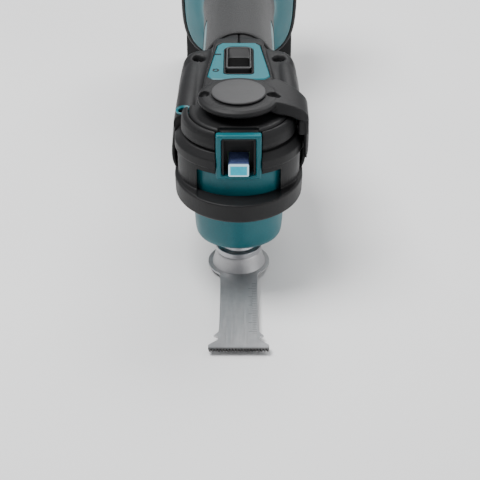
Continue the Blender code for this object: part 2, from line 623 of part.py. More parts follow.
def build_electronics():
    box("controller", (-14, 132, 61), (14, 166, 89), ALLOY, TOOL, 1.0)
    wheel = [(1.8, -3.5), (10.2, -3.5), (11.0, -2.6), (11.0, 2.6), (10.2, 3.5), (1.8, 3.5)]
    dial = turned("speed_dial", wheel, BLACK, DIAL, "X", DIAL_CENTRE, 24)
    for y, z in arc(11.9, 0, 300, 5, DIAL_CENTRE[1:]):
        cut_rod(dial, 1.7, -5, 5, "X", (0, y, z), 8)
    pot = box("speed_pot", (4.0, 177.5, 87), (9.6, 186.5, 94.2), GREY, TOOL)
    boolean(pot, rod("join_spigot", 1.4, -3, 6, None, TOOL, "X", DIAL_CENTRE, 10), "UNION")
    route = ((9, 166.4, 70), (9, 175, 69), (11, 190, 66), (12, 206, 63), (12, 225.6, 62))
    for name, side, material in (("power_lead_red", 1, RED), ("power_lead_black", -1, BLACK)):
        lead(name, material, [(side * x, y, z) for x, y, z in route])
    lead("motor_lead", RED, [(0, 131.6, 66), (0, 122, 65), (0, 112, 64), (0, 105, 64), (0, 100.5, 65)])


def lead(name, material, points):
    """An insulated wire along a smooth curve through its points."""
    curve = bpy.data.curves.new(name, "CURVE")
    curve.dimensions = "3D"
    curve.bevel_depth = 1.4 * MM
    curve.bevel_resolution = 1
    curve.use_fill_caps = True
    fine = smooth_route(points, 4)
    spline = curve.splines.new("POLY")
    spline.points.add(len(fine) - 1)
    for place, point in zip(spline.points, fine):
        place.co = (*(point * MM), 1.0)
    curve.materials.append(material)
    wire = bpy.data.objects.new(name, curve)
    wire.parent = TOOL
    bpy.context.scene.collection.objects.link(wire)


def smooth_route(points, steps):
    """Catmull-Rom points through a route."""
    route = [Vector(point) for point in points]
    route = [route[0] * 2 - route[1]] + route + [route[-1] * 2 - route[-2]]
    fine = []
    for a, b, c, d in zip(route, route[1:], route[2:], route[3:]):
        for i in range(steps):
            t = i / steps
            fine.append(0.5 * (2 * b + (c - a) * t + (2 * a - 5 * b + 4 * c - d) * t ** 2
                               + (3 * b - a - 3 * c + d) * t ** 3))
    return fine + [route[-2]]


# ---------------------------------------------------------------- rear cover and battery

def flare_rings(stations, grow=0.0):
    """Sections of the rear flare: y, half width, half height, middle height, squareness."""
    rings = []
    for y, width, height, middle, power in stations:
        outline = superellipse(width + grow, height + grow, power)
        rings.append([(x, y, middle + z) for x, z in outline])
    return rings


FLARE = ((HOUSING_BACK + GAP, 23.6, 27.8, MOTOR_Z, 2.2), (208.0, 29.0, 37.0, 77.0, 2.6),
         (218.0, 35.8, 48.5, 79.6, 3.2), (223.0, 37.6, 51.6, 80.0, 3.5), (236.0, 37.6, 51.6, 80.0, 3.5))


def build_rear():
    """Flared cover at the back of the grip, its rubber bumper, and the battery's rails and terminals."""
    cover = lofted("rear_cover", flare_rings(FLARE), TEAL, TOOL)
    hollow = list(FLARE)
    hollow[0] = (HOUSING_BACK - 3, *FLARE[0][1:])
    hollow[-1] = (240.0, *FLARE[-1][1:])
    boolean(cover, lofted("cut_flare", flare_rings(hollow, -WALL), None, TOOL))
    cut_box(cover, (-33.4, 231.6, 10), (33.4, 250, 46))
    stations = ((223.6, 38.6, 52.4), (225.0, HALF_WIDTH, 54.0), (235.0, HALF_WIDTH, 54.0),
                (236.4, 38.8, 52.6))
    rings = flare_rings([(y, w, h, 80.0, 3.5) for y, w, h in stations])
    rings += flare_rings([(y, 37.9, 51.9, 80.0, 3.5) for y in (236.4, 223.6)])
    bumper = lofted("rear_bumper", rings, RUBBER, TOOL, closed=True)
    cut_box(bumper, (-33.4, 231.2, 10), (33.4, 250, 46))
    build_terminal_block()


def build_terminal_block():
    plate = [(x, 80.0 + z) for x, z in superellipse(34.8, 48.8, 3.5)]
    block = extruded("terminal_block", plate, 226.0, 232.0, BLACK, TOOL, "Y")
    for side in (-1, 1):
        rail = [(31.4, 231.0), (31.4, 240.6), (24.9, 240.6), (24.9, 237.1), (29.0, 237.1), (29.0, 231.0)]
        rail = [(side * x, y) for x, y in rail]
        boolean(block, extruded(f"join_rail_{side}", rail, 46.5, 113, None, TOOL), "UNION")
        tab = box(f"join_tab_{side}", (side * 14 - 0.6, 231, 94), (side * 14 + 0.6, 240, 110), None, TOOL)
        boolean(block, tab, "UNION")
    cut_box(block, (-7.2, 220, 20), (7.2, 240, 41))


def build_battery():
    """Slide-on pack: rails in front, five cells lying across it, and a sprung latch at its foot."""
    wide = BATTERY_HALF_WIDTH
    cover = box("battery_cover", (-wide, 241, 0), (wide, BATTERY_SPLIT, BATTERY_HEIGHT), BLACK, BATTERY, 2.0)
    rail = [(24.4, 242.0), (24.4, 236.7), (28.6, 236.7), (28.6, 232.7)]
    rail = rail + [(-x, y) for x, y in reversed(rail)]
    boolean(cover, extruded("join_rails", rail, 46.9, 112, None, TOOL), "UNION")
    cut_box(cover, (-35.2, 243.4, 2.6), (35.2, 262, BATTERY_HEIGHT - 2.6))
    for side in (-1, 1):
        cut_box(cover, (side * 14 - 1.6, 225, 90), (side * 14 + 1.6, 242, 130))
    cut_box(cover, (-15.8, 230, 5.2), (15.8, 250, 24.6))
    cut_box(cover, (-6.6, 225, 20), (6.6, 250, 45.6))
    back_half = ((-wide, BATTERY_SPLIT + GAP, 0), (wide, REAR_END, BATTERY_HEIGHT))
    tray = box("battery_tray", *back_half, GREY, BATTERY, 2.0)
    cut_box(tray, (-35.2, 250, 2.6), (35.2, REAR_END - 2.6, BATTERY_HEIGHT - 2.6))
    for i in range(CELL_COUNT):
        height = 17.5 + 20.0 * i
        rod(f"battery_cell_{i + 1}", CELL_R, -CELL_LENGTH / 2, CELL_LENGTH / 2, GREEN, BATTERY, "X",
            (0, 270, height), 16)
    box("battery_board", (-28, 250.4, 50), (28, 252.0, 108), BOARD, BATTERY)
    latch = box("battery_latch", (-15.2, 237.2, 5.8), (15.2, 243.6, 23.8), GREY, LATCH, 0.8)
    hook = [(229.6, 33.0), (232.6, 38.6), (243.4, 38.6), (243.4, 20.0), (238.2, 20.0), (238.2, 33.0)]
    boolean(latch, extruded("join_hook", hook, -6.0, 6.0, None, TOOL, "X"), "UNION")


clear_scene()

TEAL = finish("teal_plastic", (0.004, 0.14, 0.165), 0.42)
BLACK = finish("black_plastic", (0.03, 0.03, 0.031), 0.62)
RUBBER = finish("black_rubber", (0.04, 0.04, 0.041), 0.8)
GREY = finish("dark_grey_plastic", (0.07, 0.07, 0.072), 0.6)
STEEL = finish("blade_steel", (0.5, 0.5, 0.52), 0.34, 1.0)
BRIGHT_STEEL = finish("ground_steel", (0.6, 0.6, 0.61), 0.25, 1.0)
ALLOY = finish("cast_alloy", (0.45, 0.46, 0.47), 0.5, 1.0)
CLEAR = finish("clear_lens", (0.55, 0.8, 0.95), 0.1)
BOARD = finish("circuit_board", (0.02, 0.12, 0.05), 0.5)
RED = finish("red_insulation", (0.4, 0.02, 0.02), 0.5)
GREEN = finish("cell_sleeve", (0.02, 0.2, 0.1), 0.4)

SPINDLE_FROM_MIDDLE = (REAR_END - BLADE_REACH) / 2
TOOL = pivot("tool", 0, -SPINDLE_FROM_MIDDLE, 0)
SWING = pivot("swing_axis", parent=TOOL)
CLAMP = pivot("clamp_axis", parent=TOOL)
LEVER = pivot("lever_axis", parent=TOOL)
JAW_RIGHT = pivot("jaw_right_axis", 5.8, 0, 23.0, TOOL)
JAW_LEFT = pivot("jaw_left_axis", -5.8, 0, 23.0, TOOL)
MOTOR = pivot("motor_axis", 0, 0, MOTOR_Z, TOOL)
SWITCH = pivot("switch_track", 0, 57.0, 99.0, TOOL)
DIAL = pivot("dial_axis", *DIAL_CENTRE, TOOL)
BATTERY = pivot("battery_track", 0, 241.0, 0, TOOL)
LATCH = pivot("latch_track", 0, 241.0, 14.0, TOOL)

build_blade()
build_spindle()
build_clamp()
build_cam()
build_lever()
build_gear_case()
build_spindle_bearings()
build_nose()
build_head_cover()
build_head_guard()
build_lamp()
build_motor()
build_dampers()
build_housing()
build_grip_sleeve()
build_switch()
build_electronics()
build_rear()
build_battery()
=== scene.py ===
"""Looks for the cordless oscillating multi-tool.

Sizes are in millimetres in the tool's own frame: the spindle's axis is x = 0, y = 0, the bench is z = 0,
the blade points to -Y and the lock lever's arm is on the +X side. IN_WORLD carries that frame to the
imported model's metres.
"""

import json
import math

import bmesh
import bpy
from mathutils import Matrix, Vector


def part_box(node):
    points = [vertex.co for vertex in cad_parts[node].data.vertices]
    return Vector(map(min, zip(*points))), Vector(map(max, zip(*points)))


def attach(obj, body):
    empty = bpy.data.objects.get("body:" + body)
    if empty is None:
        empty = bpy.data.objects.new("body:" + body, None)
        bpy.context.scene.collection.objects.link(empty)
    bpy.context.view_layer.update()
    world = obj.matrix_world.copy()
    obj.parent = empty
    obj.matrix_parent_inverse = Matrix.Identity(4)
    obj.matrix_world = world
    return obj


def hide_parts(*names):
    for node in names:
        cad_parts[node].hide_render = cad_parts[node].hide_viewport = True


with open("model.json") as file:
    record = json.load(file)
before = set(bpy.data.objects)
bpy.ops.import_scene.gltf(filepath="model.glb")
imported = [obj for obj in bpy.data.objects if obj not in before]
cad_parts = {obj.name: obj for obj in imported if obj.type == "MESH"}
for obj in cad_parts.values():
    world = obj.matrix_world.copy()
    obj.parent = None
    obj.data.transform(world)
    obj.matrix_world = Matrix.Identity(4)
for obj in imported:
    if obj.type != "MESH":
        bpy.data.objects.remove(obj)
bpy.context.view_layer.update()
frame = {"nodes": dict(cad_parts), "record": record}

MM = 0.001
SPINDLE_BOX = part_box("spindle")
AXIS_Y = (SPINDLE_BOX[0].y + SPINDLE_BOX[1].y) / 2
IN_WORLD = Matrix.Translation((0, AXIS_Y, 0)) @ Matrix.Scale(MM, 4)

GAP = 0.3  # clearance between neighbouring pieces
MOTOR_Z = 75.0  # height of the grip's middle
BLADE_LOW, BLADE_TOP = 2.2, 3.6
SHARP = math.radians(32)  # bends over this show as an edge
NO_EDGE = math.pi


# ---- curves and outlines

def catmull(a, b, c, d, t):
    """A point between b and c on a smooth curve, for tuples of any length."""
    parts = zip(a, b, c, d)
    return tuple(0.5 * (2 * q + (r - p) * t + (2 * p - 5 * q + 4 * r - s) * t ** 2
                        + (3 * q - p - 3 * r + s) * t ** 3) for p, q, r, s in parts)


def spline(points, steps):
    """Smooths an open list of tuples, keeping its own points and both ends."""
    first = tuple(2 * a - b for a, b in zip(points[0], points[1]))
    last = tuple(2 * a - b for a, b in zip(points[-1], points[-2]))
    route = [first] + list(points) + [last]
    fine = []
    for four in zip(route, route[1:], route[2:], route[3:]):
        fine += [catmull(*four, i / steps) for i in range(steps)]
    return fine + [tuple(points[-1])]


def arc(radius, start, end, count, centre=(0.0, 0.0)):
    """Points on a circle, angles in degrees, both ends included."""
    step = (end - start) / count
    angles = [math.radians(start + step * i) for i in range(count + 1)]
    return [(centre[0] + radius * math.cos(a), centre[1] + radius * math.sin(a)) for a in angles]


def mirrored(right):
    """The right side of an outline, followed by its mirror image on the left."""
    return right + [(-x, y) for x, y in reversed(right)]


def rounded_rectangle(half_width, half_height, radius, centre=(0.0, 0.0), steps=6):
    points = []
    for i, (sx, sy) in enumerate(((1, 1), (-1, 1), (-1, -1), (1, -1))):
        middle = (centre[0] + sx * (half_width - radius), centre[1] + sy * (half_height - radius))
        points += arc(radius, 90 * i, 90 * i + 90, steps, middle)
    return points


def superellipse(half_width, half_height, power):
    """Points round a rounded rectangle: power 2 is an ellipse, and higher is squarer."""
    count = 72
    points = []
    for i in range(count):
        angle = 2 * math.pi * (i + 0.5) / count
        c, s = math.cos(angle), math.sin(angle)
        size = (abs(c) ** power + abs(s) ** power) ** (-1 / power)
        points.append((half_width * c * size, half_height * s * size))
    return points


def head_outline(half_width, depth, back=4.0):
    """The head from above: half an ellipse at the front, with straight sides running back."""
    front = [(half_width * c, depth * s) for c, s in arc(1.0, 180, 360, 48)]
    return [(-half_width, back)] + front + [(half_width, back)]


# ---- making meshes

def turn_to(axis):
    """The rotation that carries +Z to an axis."""
    turns = {"Z": Matrix.Identity(4), "Y": Matrix.Rotation(-math.pi / 2, 4, "X")}
    turns["X"] = Matrix.Rotation(math.pi / 2, 4, "Y")
    return turns[axis]


def piece_of(name, bm):
    """An object of a mesh drawn in the tool's frame, with its faces turned outwards."""
    bmesh.ops.recalc_face_normals(bm, faces=bm.faces)
    if bm.calc_volume(signed=True) < 0:
        bmesh.ops.reverse_faces(bm, faces=bm.faces)
    mesh = bpy.data.meshes.new(name)
    bm.to_mesh(mesh)
    bm.free()
    mesh.transform(IN_WORLD)
    made = bpy.data.objects.new(name, mesh)
    bpy.context.scene.collection.objects.link(made)
    return made


def lofted(name, rings, closed=False):
    """Skins rings of equal length. closed joins the last ring to the first in place of end caps."""
    bm = bmesh.new()
    loops = [[bm.verts.new(point) for point in ring] for ring in rings]
    count = len(loops[0])
    pairs = list(zip(loops, loops[1:])) + ([(loops[-1], loops[0])] if closed else [])
    for first, second in pairs:
        for i in range(count):
            j = (i + 1) % count
            bm.faces.new((first[i], first[j], second[j], second[i]))
    if not closed:
        bm.faces.new(loops[0])
        bm.faces.new(loops[-1])
    bm.normal_update()
    bmesh.ops.connect_verts_nonplanar(bm, angle_limit=math.radians(0.05), faces=bm.faces)
    return piece_of(name, bm)


def turned(name, outline, axis="Z", centre=(0, 0, 0), steps=64):
    """Spins an outline of (radius, height) points. It is a ring unless it starts and ends on the axis."""
    place = Matrix.Translation(centre) @ turn_to(axis)
    rings = []
    for radius, height in outline:
        if radius > 0:
            circle = arc(radius, 0, 360 - 360 / steps, steps - 1)
            rings.append([place @ Vector((x, y, height)) for x, y in circle])
    return lofted(name, rings, closed=outline[0][0] > 0)


def peg(name, radius, low, high, axis="Z", centre=(0, 0, 0), steps=64):
    """A plain round bar, for cutters and posts."""
    return turned(name, [(0, low), (radius, low), (radius, high), (0, high)], axis, centre, steps)


def stacked(name, levels, outline, axis="Z"):
    """Skins an outline that changes along an axis. Each level is its place there, then outline's values.

    The outline is (x, y) for Z, (x, z) for Y and (y, z) for X.
    """
    order = {"Z": (0, 1, 2), "Y": (0, 2, 1), "X": (2, 0, 1)}[axis]
    rings = []
    for level, *values in levels:
        points = [(a, b, level) for a, b in outline(*values)]
        rings.append([tuple(point[i] for i in order) for point in points])
    return lofted(name, rings)


def prism(name, outline, low, high, axis="Z", chamfer=0.0):
    """A prism with its end edges chamfered, from an outline such as stacked takes."""
    levels = [(low, 0.0), (high, 0.0)]
    if chamfer:
        levels = [(low, chamfer), (low + chamfer, 0.0), (high - chamfer, 0.0), (high, chamfer)]
    return stacked(name, levels, lambda inset: inset_outline(outline, inset), axis)


def inset_outline(outline, distance):
    """Moves each corner of a closed outline inwards along its corner's bisector."""
    if not distance:
        return outline
    area = sum(a[0] * b[1] - b[0] * a[1] for a, b in zip(outline, outline[1:] + outline[:1]))
    side = 1 if area > 0 else -1
    moved = []
    for before, here, after in zip(outline[-1:] + outline[:-1], outline, outline[1:] + outline[:1]):
        first = (Vector(here) - Vector(before)).normalized()
        second = (Vector(after) - Vector(here)).normalized()
        inward = Vector((-first.y - second.y, first.x + second.x)) * side
        reach = max(0.35, inward.length / 2)
        moved.append(tuple(Vector(here) + inward.normalized() * distance / reach))
    return moved


def block(name, low, high, bevel=0.0, segments=3):
    """A box between two corners, with its edges rounded if asked."""
    bm = bmesh.new()
    bmesh.ops.create_cube(bm, size=1)
    low, high = Vector(low), Vector(high)
    bmesh.ops.scale(bm, vec=high - low, verts=bm.verts)
    bmesh.ops.translate(bm, vec=(high + low) / 2, verts=bm.verts)
    if bevel:
        bmesh.ops.bevel(bm, geom=bm.edges[:], offset=bevel, segments=segments, profile=0.5, affect="EDGES")
    return piece_of(name, bm)


def settle(piece):
    """Applies a piece's modifiers."""
    bpy.context.view_layer.update()
    graph = bpy.context.evaluated_depsgraph_get()
    mesh = bpy.data.meshes.new_from_object(piece.evaluated_get(graph))
    piece.modifiers.clear()
    old = piece.data
    piece.data = mesh
    bpy.data.meshes.remove(old)
    return piece


def carve(piece, other, operation="DIFFERENCE"):
    """Cuts, joins or trims a piece with a helper, which is then removed."""
    modifier = piece.modifiers.new("carve", "BOOLEAN")
    modifier.operation = operation
    modifier.solver = "EXACT"
    modifier.object = other
    settle(piece)
    bpy.data.objects.remove(other, do_unlink=True)
    return piece


def join(piece, other):
    return carve(piece, other, "UNION")


def soften(piece, grid, passes):
    """Rebuilds a piece on an even grid and eases it, so that every edge and cut gets a moulded round."""
    remesh = piece.modifiers.new("grid", "REMESH")
    remesh.mode = "VOXEL"
    remesh.voxel_size = grid * MM
    remesh.adaptivity = 0.0
    ease = piece.modifiers.new("ease", "SMOOTH")
    ease.factor = 0.5
    ease.iterations = passes
    return settle(piece)


def fit_out(piece, material, *nodes, body="housing", angle=SHARP):
    """Gives a finished piece its material and its body, and hides the CAD nodes it stands for."""
    piece.data.materials.clear()
    piece.data.materials.append(material)
    piece.data.shade_smooth()
    piece.data.set_sharp_from_angle(angle=angle)
    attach(piece, body)
    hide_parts(*nodes)
    return piece


# ---- materials

class Nodes:
    """Builds one material's nodes with short calls."""

    def __init__(self, name):
        self.material = bpy.data.materials.new(name)
        self.material.use_nodes = True
        self.tree = self.material.node_tree
        self.shader = self.tree.nodes["Principled BSDF"]
        self.place = self.tree.nodes.new("ShaderNodeTexCoord").outputs["Object"]

    def add(self, kind, links=None, **values):
        node = self.tree.nodes.new("ShaderNode" + kind)
        for key, value in values.items():
            setattr(node, key, value)
        for socket, source in (links or {}).items():
            self.link(source, node.inputs[socket])
        return node

    def link(self, source, socket):
        if isinstance(source, bpy.types.NodeSocket):
            self.tree.links.new(source, socket)
        else:
            socket.default_value = source

    def noise(self, scale, detail=2.0, roughness=0.5, place=None):
        node = self.add("TexNoise", {"Vector": place or self.place, "Scale": scale, "Detail": detail,
                                     "Roughness": roughness})
        return node.outputs["Fac"]

    def spread(self, source, low, high, out_low=0.0, out_high=1.0):
        node = self.add("MapRange", {"Value": source, "From Min": low, "From Max": high,
                                     "To Min": out_low, "To Max": out_high})
        return node.outputs["Result"]

    def maths(self, operation, a, b=0.0):
        node = self.add("Math", operation=operation)
        self.link(a, node.inputs[0])
        self.link(b, node.inputs[1])
        return node.outputs[0]

    def blend(self, share, a, b):
        """Mixes two colours, each a socket or an (r, g, b)."""
        node = self.add("Mix", data_type="RGBA")
        self.link(share, node.inputs["Factor"])
        for socket, value in ((node.inputs[6], a), (node.inputs[7], b)):
            self.link(value if isinstance(value, bpy.types.NodeSocket) else (*value, 1.0), socket)
        return node.outputs[2]

    def bump(self, height, distance, strength=1.0, under=None):
        links = {"Height": height, "Distance": distance * MM, "Strength": strength}
        if under:
            links["Normal"] = under
        return self.add("Bump", links).outputs["Normal"]

    def edges(self):
        """1 on worn convex edges and 0 elsewhere."""
        bend = self.add("NewGeometry").outputs["Pointiness"]
        return self.spread(bend, 0.53, 0.6)

    def finish(self, **sockets):
        for name, value in sockets.items():
            self.link(value, self.shader.inputs[name.replace("_", " ").title().replace("Ior", "IOR")])
        return self.material


def times(colour, share):
    return tuple(min(1.0, channel * share) for channel in colour)


def moulded(name, colour, roughness, grain, depth, wear=0.25, coat=0.0, shine=0.34):
    """Moulded plastic: fine spark-eroded grain, uneven gloss, faint dust and paler rubbed edges."""
    n = Nodes(name)
    fine = n.noise(grain, 3.0, 0.6)
    speck = n.spread(fine, 0.35, 0.7)
    blotch = n.spread(n.noise(38.0, 3.0), 0.3, 0.7)
    rubbed = n.maths("MULTIPLY", n.edges(), wear)
    base = n.blend(n.maths("MULTIPLY", speck, 0.35), colour, times(colour, 1.7))
    base = n.blend(n.maths("MULTIPLY", blotch, 0.2), base, times(colour, 0.75))
    base = n.blend(rubbed, base, times(colour, 3.0))
    gloss = n.maths("ADD", n.spread(blotch, 0.0, 1.0, roughness - 0.05, roughness + 0.05),
                    n.maths("MULTIPLY", speck, 0.06))
    normal = n.bump(fine, depth, 0.6)
    return n.finish(base_color=base, roughness=gloss, normal=normal, specular_ior_level=shine,
                    coat_weight=coat, coat_roughness=0.25)


def rubber(name, colour):
    """Soft overmould: coarse pebbled grain with pale specks and a slight sheen."""
    n = Nodes(name)
    cells = n.add("TexVoronoi", {"Vector": n.place, "Scale": 1150.0}).outputs["Distance"]
    pebble = n.spread(cells, 0.1, 0.65, 1.0, 0.0)
    fine = n.noise(1600.0, 2.0, 0.6)
    speck = n.spread(fine, 0.55, 0.72)
    base = n.blend(n.maths("MULTIPLY", speck, 0.5), colour, times(colour, 3.2))
    base = n.blend(n.spread(n.noise(30.0, 3.0), 0.35, 0.75, 0.0, 0.3), base, times(colour, 0.7))
    normal = n.bump(pebble, 0.16, 0.7, n.bump(fine, 0.06, 0.5))
    gloss = n.spread(fine, 0.3, 0.7, 0.66, 0.84)
    return n.finish(base_color=base, roughness=gloss, normal=normal, sheen_weight=0.15, sheen_roughness=0.4)


def turned_metal(name, colour, roughness, axis="Z"):
    """Turned or ground steel: fine rings across the axis, with smears of oil."""
    n = Nodes(name)
    stretch = {"Z": (40.0, 40.0, 2600.0), "Y": (40.0, 2600.0, 40.0)}[axis]
    place = n.add("Mapping", {"Vector": n.place, "Scale": stretch}).outputs["Vector"]
    rings = n.noise(1.0, 2.0, 0.6, place)
    smear = n.noise(90.0, 3.0)
    base = n.blend(n.spread(smear, 0.4, 0.7, 0.0, 0.35), colour, times(colour, 0.6))
    gloss = n.maths("ADD", n.spread(rings, 0.3, 0.7, roughness - 0.06, roughness + 0.08),
                    n.spread(smear, 0.4, 0.7, 0.0, 0.12))
    return n.finish(base_color=base, roughness=gloss, metallic=1.0, normal=n.bump(rings, 0.02, 0.4))


def cast_metal(name, colour):
    n = Nodes(name)
    grit = n.noise(1400.0, 3.0, 0.7)
    base = n.blend(n.spread(n.noise(60.0), 0.3, 0.7), colour, times(colour, 0.8))
    return n.finish(base_color=base, roughness=n.spread(grit, 0.3, 0.7, 0.42, 0.6), metallic=1.0,
                    normal=n.bump(grit, 0.08, 0.5))


def blade_steel(name, tip_y, high_z):
    """Ground blade steel with faint grinding lines, painted shade darkening the teeth and a plain depth
    scale.
    """
    n = Nodes(name)
    place = n.add("Mapping", {"Vector": n.place, "Scale": (2600.0, 60.0, 60.0)}).outputs["Vector"]
    lines = n.noise(1.0, 3.0, 0.6, place)
    blotch = n.noise(120.0, 4.0, 0.6)
    split = n.add("SeparateXYZ", {"Vector": n.place})
    x, y, z = (split.outputs[axis] for axis in "XYZ")
    from_tip = n.maths("SUBTRACT", y, tip_y)
    # Painted shade: the teeth, the front 1.2 to 3 mm, are darkened nearly to black to stand in for their
    # shade and the shadow under them.
    teeth = n.spread(from_tip, 1.2 * MM, 3.0 * MM, 1.0, 0.0)
    base = n.blend(n.spread(blotch, 0.35, 0.7), (0.44, 0.44, 0.45), (0.53, 0.525, 0.53))
    base = n.blend(n.spread(lines, 0.45, 0.75, 0.0, 0.3), base, (0.6, 0.595, 0.6))
    base = n.blend(n.maths("MULTIPLY", teeth, 0.85), base, (0.03, 0.028, 0.026))
    marks = scale_marks(n, x, from_tip, n.maths("GREATER_THAN", z, high_z - 0.2 * MM))
    base = n.blend(n.maths("MULTIPLY", marks, 0.7), base, (0.05, 0.05, 0.055))
    gloss = n.maths("ADD", n.spread(lines, 0.3, 0.7, 0.42, 0.54), n.maths("MULTIPLY", marks, 0.2))
    metal = n.maths("SUBTRACT", 0.9, n.maths("MULTIPLY", marks, 0.6))
    return n.finish(base_color=base, roughness=gloss, metallic=metal, normal=n.bump(lines, 0.008, 0.4))


def scale_marks(n, x, from_tip, on_top):
    """Etched ruler lines along the right side of the shank, every fifth one longer."""
    found = None
    for pitch, reach in ((1.6, 2.4), (8.0, 4.4)):
        beat = n.maths("FRACT", n.maths("DIVIDE", from_tip, pitch * MM))
        line = n.maths("LESS_THAN", beat, 0.36 / pitch)
        wide = n.maths("GREATER_THAN", x, (9.7 - reach) * MM)
        line = n.maths("MULTIPLY", line, wide)
        found = line if found is None else n.maths("MAXIMUM", found, line)
    inside = n.maths("LESS_THAN", x, 9.8 * MM)
    start = n.maths("GREATER_THAN", from_tip, 14.5 * MM)
    end = n.maths("LESS_THAN", from_tip, 62 * MM)
    for limit in (inside, start, end, on_top):
        found = n.maths("MULTIPLY", found, limit)
    return found


def lamp_glass(name, low, high):
    """Light guide of tinted clear plastic whose front face glows, whitest round its edge."""
    n = Nodes(name)
    split = n.add("SeparateXYZ", {"Vector": n.place})
    x, y, z = (split.outputs[axis] for axis in "XYZ")
    glow = n.spread(n.maths("SUBTRACT", y, low.y), 0.3 * MM, 1.1 * MM, 1.0, 0.0)
    middle_z = (low.z + high.z) / 2
    across = n.spread(n.maths("ABSOLUTE", x), high.x - 1.3 * MM, high.x - 0.7 * MM)
    upright = n.spread(n.maths("ABSOLUTE", n.maths("SUBTRACT", z, middle_z)), high.z - middle_z - 1.2 * MM,
                       high.z - middle_z - 0.7 * MM)
    edge = n.maths("MAXIMUM", across, upright)
    streak = n.noise(700.0, 2.0)
    base = n.blend(glow, n.blend(streak, (0.03, 0.045, 0.13), (0.1, 0.13, 0.28)), (0.0, 0.1, 0.14))
    light = n.blend(n.spread(streak, 0.3, 0.7), (0.0, 0.33, 0.46), (0.0, 0.4, 0.54))
    light = n.blend(edge, light, (0.7, 0.9, 1.0))
    n.link(n.maths("MULTIPLY", glow, 1.05), n.shader.inputs["Emission Strength"])
    return n.finish(base_color=base, emission_color=light, roughness=0.2, coat_weight=0.1,
                    coat_roughness=0.06, specular_ior_level=0.3)


def circuit(name):
    n = Nodes(name)
    tracks = n.add("TexBrick", {"Vector": n.place, "Scale": 260.0, "Color1": (0.01, 0.09, 0.04, 1),
                                "Color2": (0.015, 0.12, 0.05, 1), "Mortar": (0.05, 0.2, 0.09, 1)})
    grit = n.noise(900.0)
    return n.finish(base_color=tracks.outputs["Color"], roughness=n.spread(grit, 0.3, 0.7, 0.35, 0.5),
                    normal=n.bump(tracks.outputs["Fac"], 0.05, 0.5))


def sleeve_film(name, colour):
    """Shrink film or wire insulation: smooth, with a faint orange-peel."""
    n = Nodes(name)
    peel = n.noise(420.0, 2.0)
    base = n.blend(n.spread(peel, 0.3, 0.7, 0.0, 0.25), colour, times(colour, 1.5))
    return n.finish(base_color=base, roughness=n.spread(peel, 0.3, 0.7, 0.25, 0.38),
                    normal=n.bump(peel, 0.05, 0.3))


def floor_paint(name):
    n = Nodes(name)
    tone = n.noise(3.0, 3.0)
    base = n.blend(n.spread(tone, 0.3, 0.7), (0.8, 0.8, 0.8), (0.83, 0.83, 0.825))
    return n.finish(base_color=base, roughness=0.75)


BLADE_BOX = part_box("blade")
LENS_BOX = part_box("led_lens")
TEAL = moulded("teal_plastic", (0.001, 0.1, 0.122), 0.38, 1500.0, 0.02, 0.1, 0.04)
BLACK = moulded("black_plastic", (0.0085, 0.0085, 0.009), 0.5, 1250.0, 0.05, 0.12, shine=0.24)
# Black plastic about three times lighter: partly rubbed wear, partly painted highlight for the lit ramp and
# rim of the switch's knob.
WORN_AND_HIGHLIT = moulded("rubbed_painted_highlight_plastic", (0.026, 0.026, 0.0265), 0.46, 1250.0, 0.04, 0.2)
# Near-black, nearly unshiny plastic for painted shade: a sheet laid where a hollow's floor lies in shade.
PAINTED_SHADE = moulded("painted_shade_plastic", (0.002, 0.002, 0.002), 0.7, 1250.0, 0.05, 0.0, shine=0.05)
GREY = moulded("dark_grey_plastic", (0.042, 0.042, 0.043), 0.56, 1000.0, 0.07, 0.12)
GLOSS = moulded("gloss_black_plastic", (0.006, 0.006, 0.0065), 0.2, 900.0, 0.004, 0.1, 0.25)
RUBBER = rubber("black_rubber", (0.013, 0.013, 0.0135))
BLADE_STEEL = blade_steel("blade_steel", BLADE_BOX[0].y, BLADE_TOP * MM)
STEEL = turned_metal("ground_steel", (0.5, 0.5, 0.52), 0.3)
SHAFT_STEEL = turned_metal("ground_shaft_steel", (0.5, 0.5, 0.52), 0.28, "Y")
ALLOY = cast_metal("cast_alloy", (0.4, 0.41, 0.42))
LAMP = lamp_glass("clear_lens", *LENS_BOX)
BOARD = circuit("circuit_board")
RED = sleeve_film("red_insulation", (0.38, 0.02, 0.02))
GREEN = sleeve_film("cell_sleeve", (0.015, 0.17, 0.08))

# The look of each material slot, and the slots of the looks that are variants of another.
SLOT_LOOKS = {
    "teal_plastic": TEAL, "black_plastic": BLACK, "grey_plastic": GREY, "black_rubber": RUBBER,
    "blade_steel": STEEL, "ground_steel": STEEL, "cast_alloy": ALLOY, "clear_lens": LAMP,
    "circuit_board": BOARD, "red_insulation": RED, "cell_sleeve": GREEN,
}
LOOK_SLOTS = {look: slot for slot, look in SLOT_LOOKS.items()}
LOOK_SLOTS |= {look: "black_plastic" for look in (GLOSS, WORN_AND_HIGHLIT, PAINTED_SHADE)}
LOOK_SLOTS[BLADE_STEEL] = "blade_steel"


# ---- blade, spindle and clamp

def blade_outline():
    """Collar round the cup, narrow shank, barbs, notches and a toothed edge."""
    half, tip, teeth_count = 16.0, -85.0, 20
    pitch = 2 * half / teeth_count
    shank = spline([(10.6, -16.0), (10.4, -28.0), (10.4, -52.0), (10.6, tip + 18.6), (11.4, tip + 15.4),
                    (13.3, tip + 12.9)], 5)
    notch = arc(2.3, 115, 222, 8, (13.2, tip + 10.2))
    right = shank + notch + [(half - 0.9, tip + 5.6), (half, tip + 4.6), (half, tip + 1.6)]
    teeth = []
    for i in range(teeth_count):
        start = half - pitch * i
        teeth += [(start - 0.06, tip + 1.25), (start - pitch * 0.28, tip + 0.1), (start - pitch * 0.4, tip),
                  (start - pitch * 0.66, tip + 0.45)]
    left = [(-x, y) for x, y in reversed(right)]
    collar = arc(17.5, 232, -52, 48)
    return right + teeth + left + collar


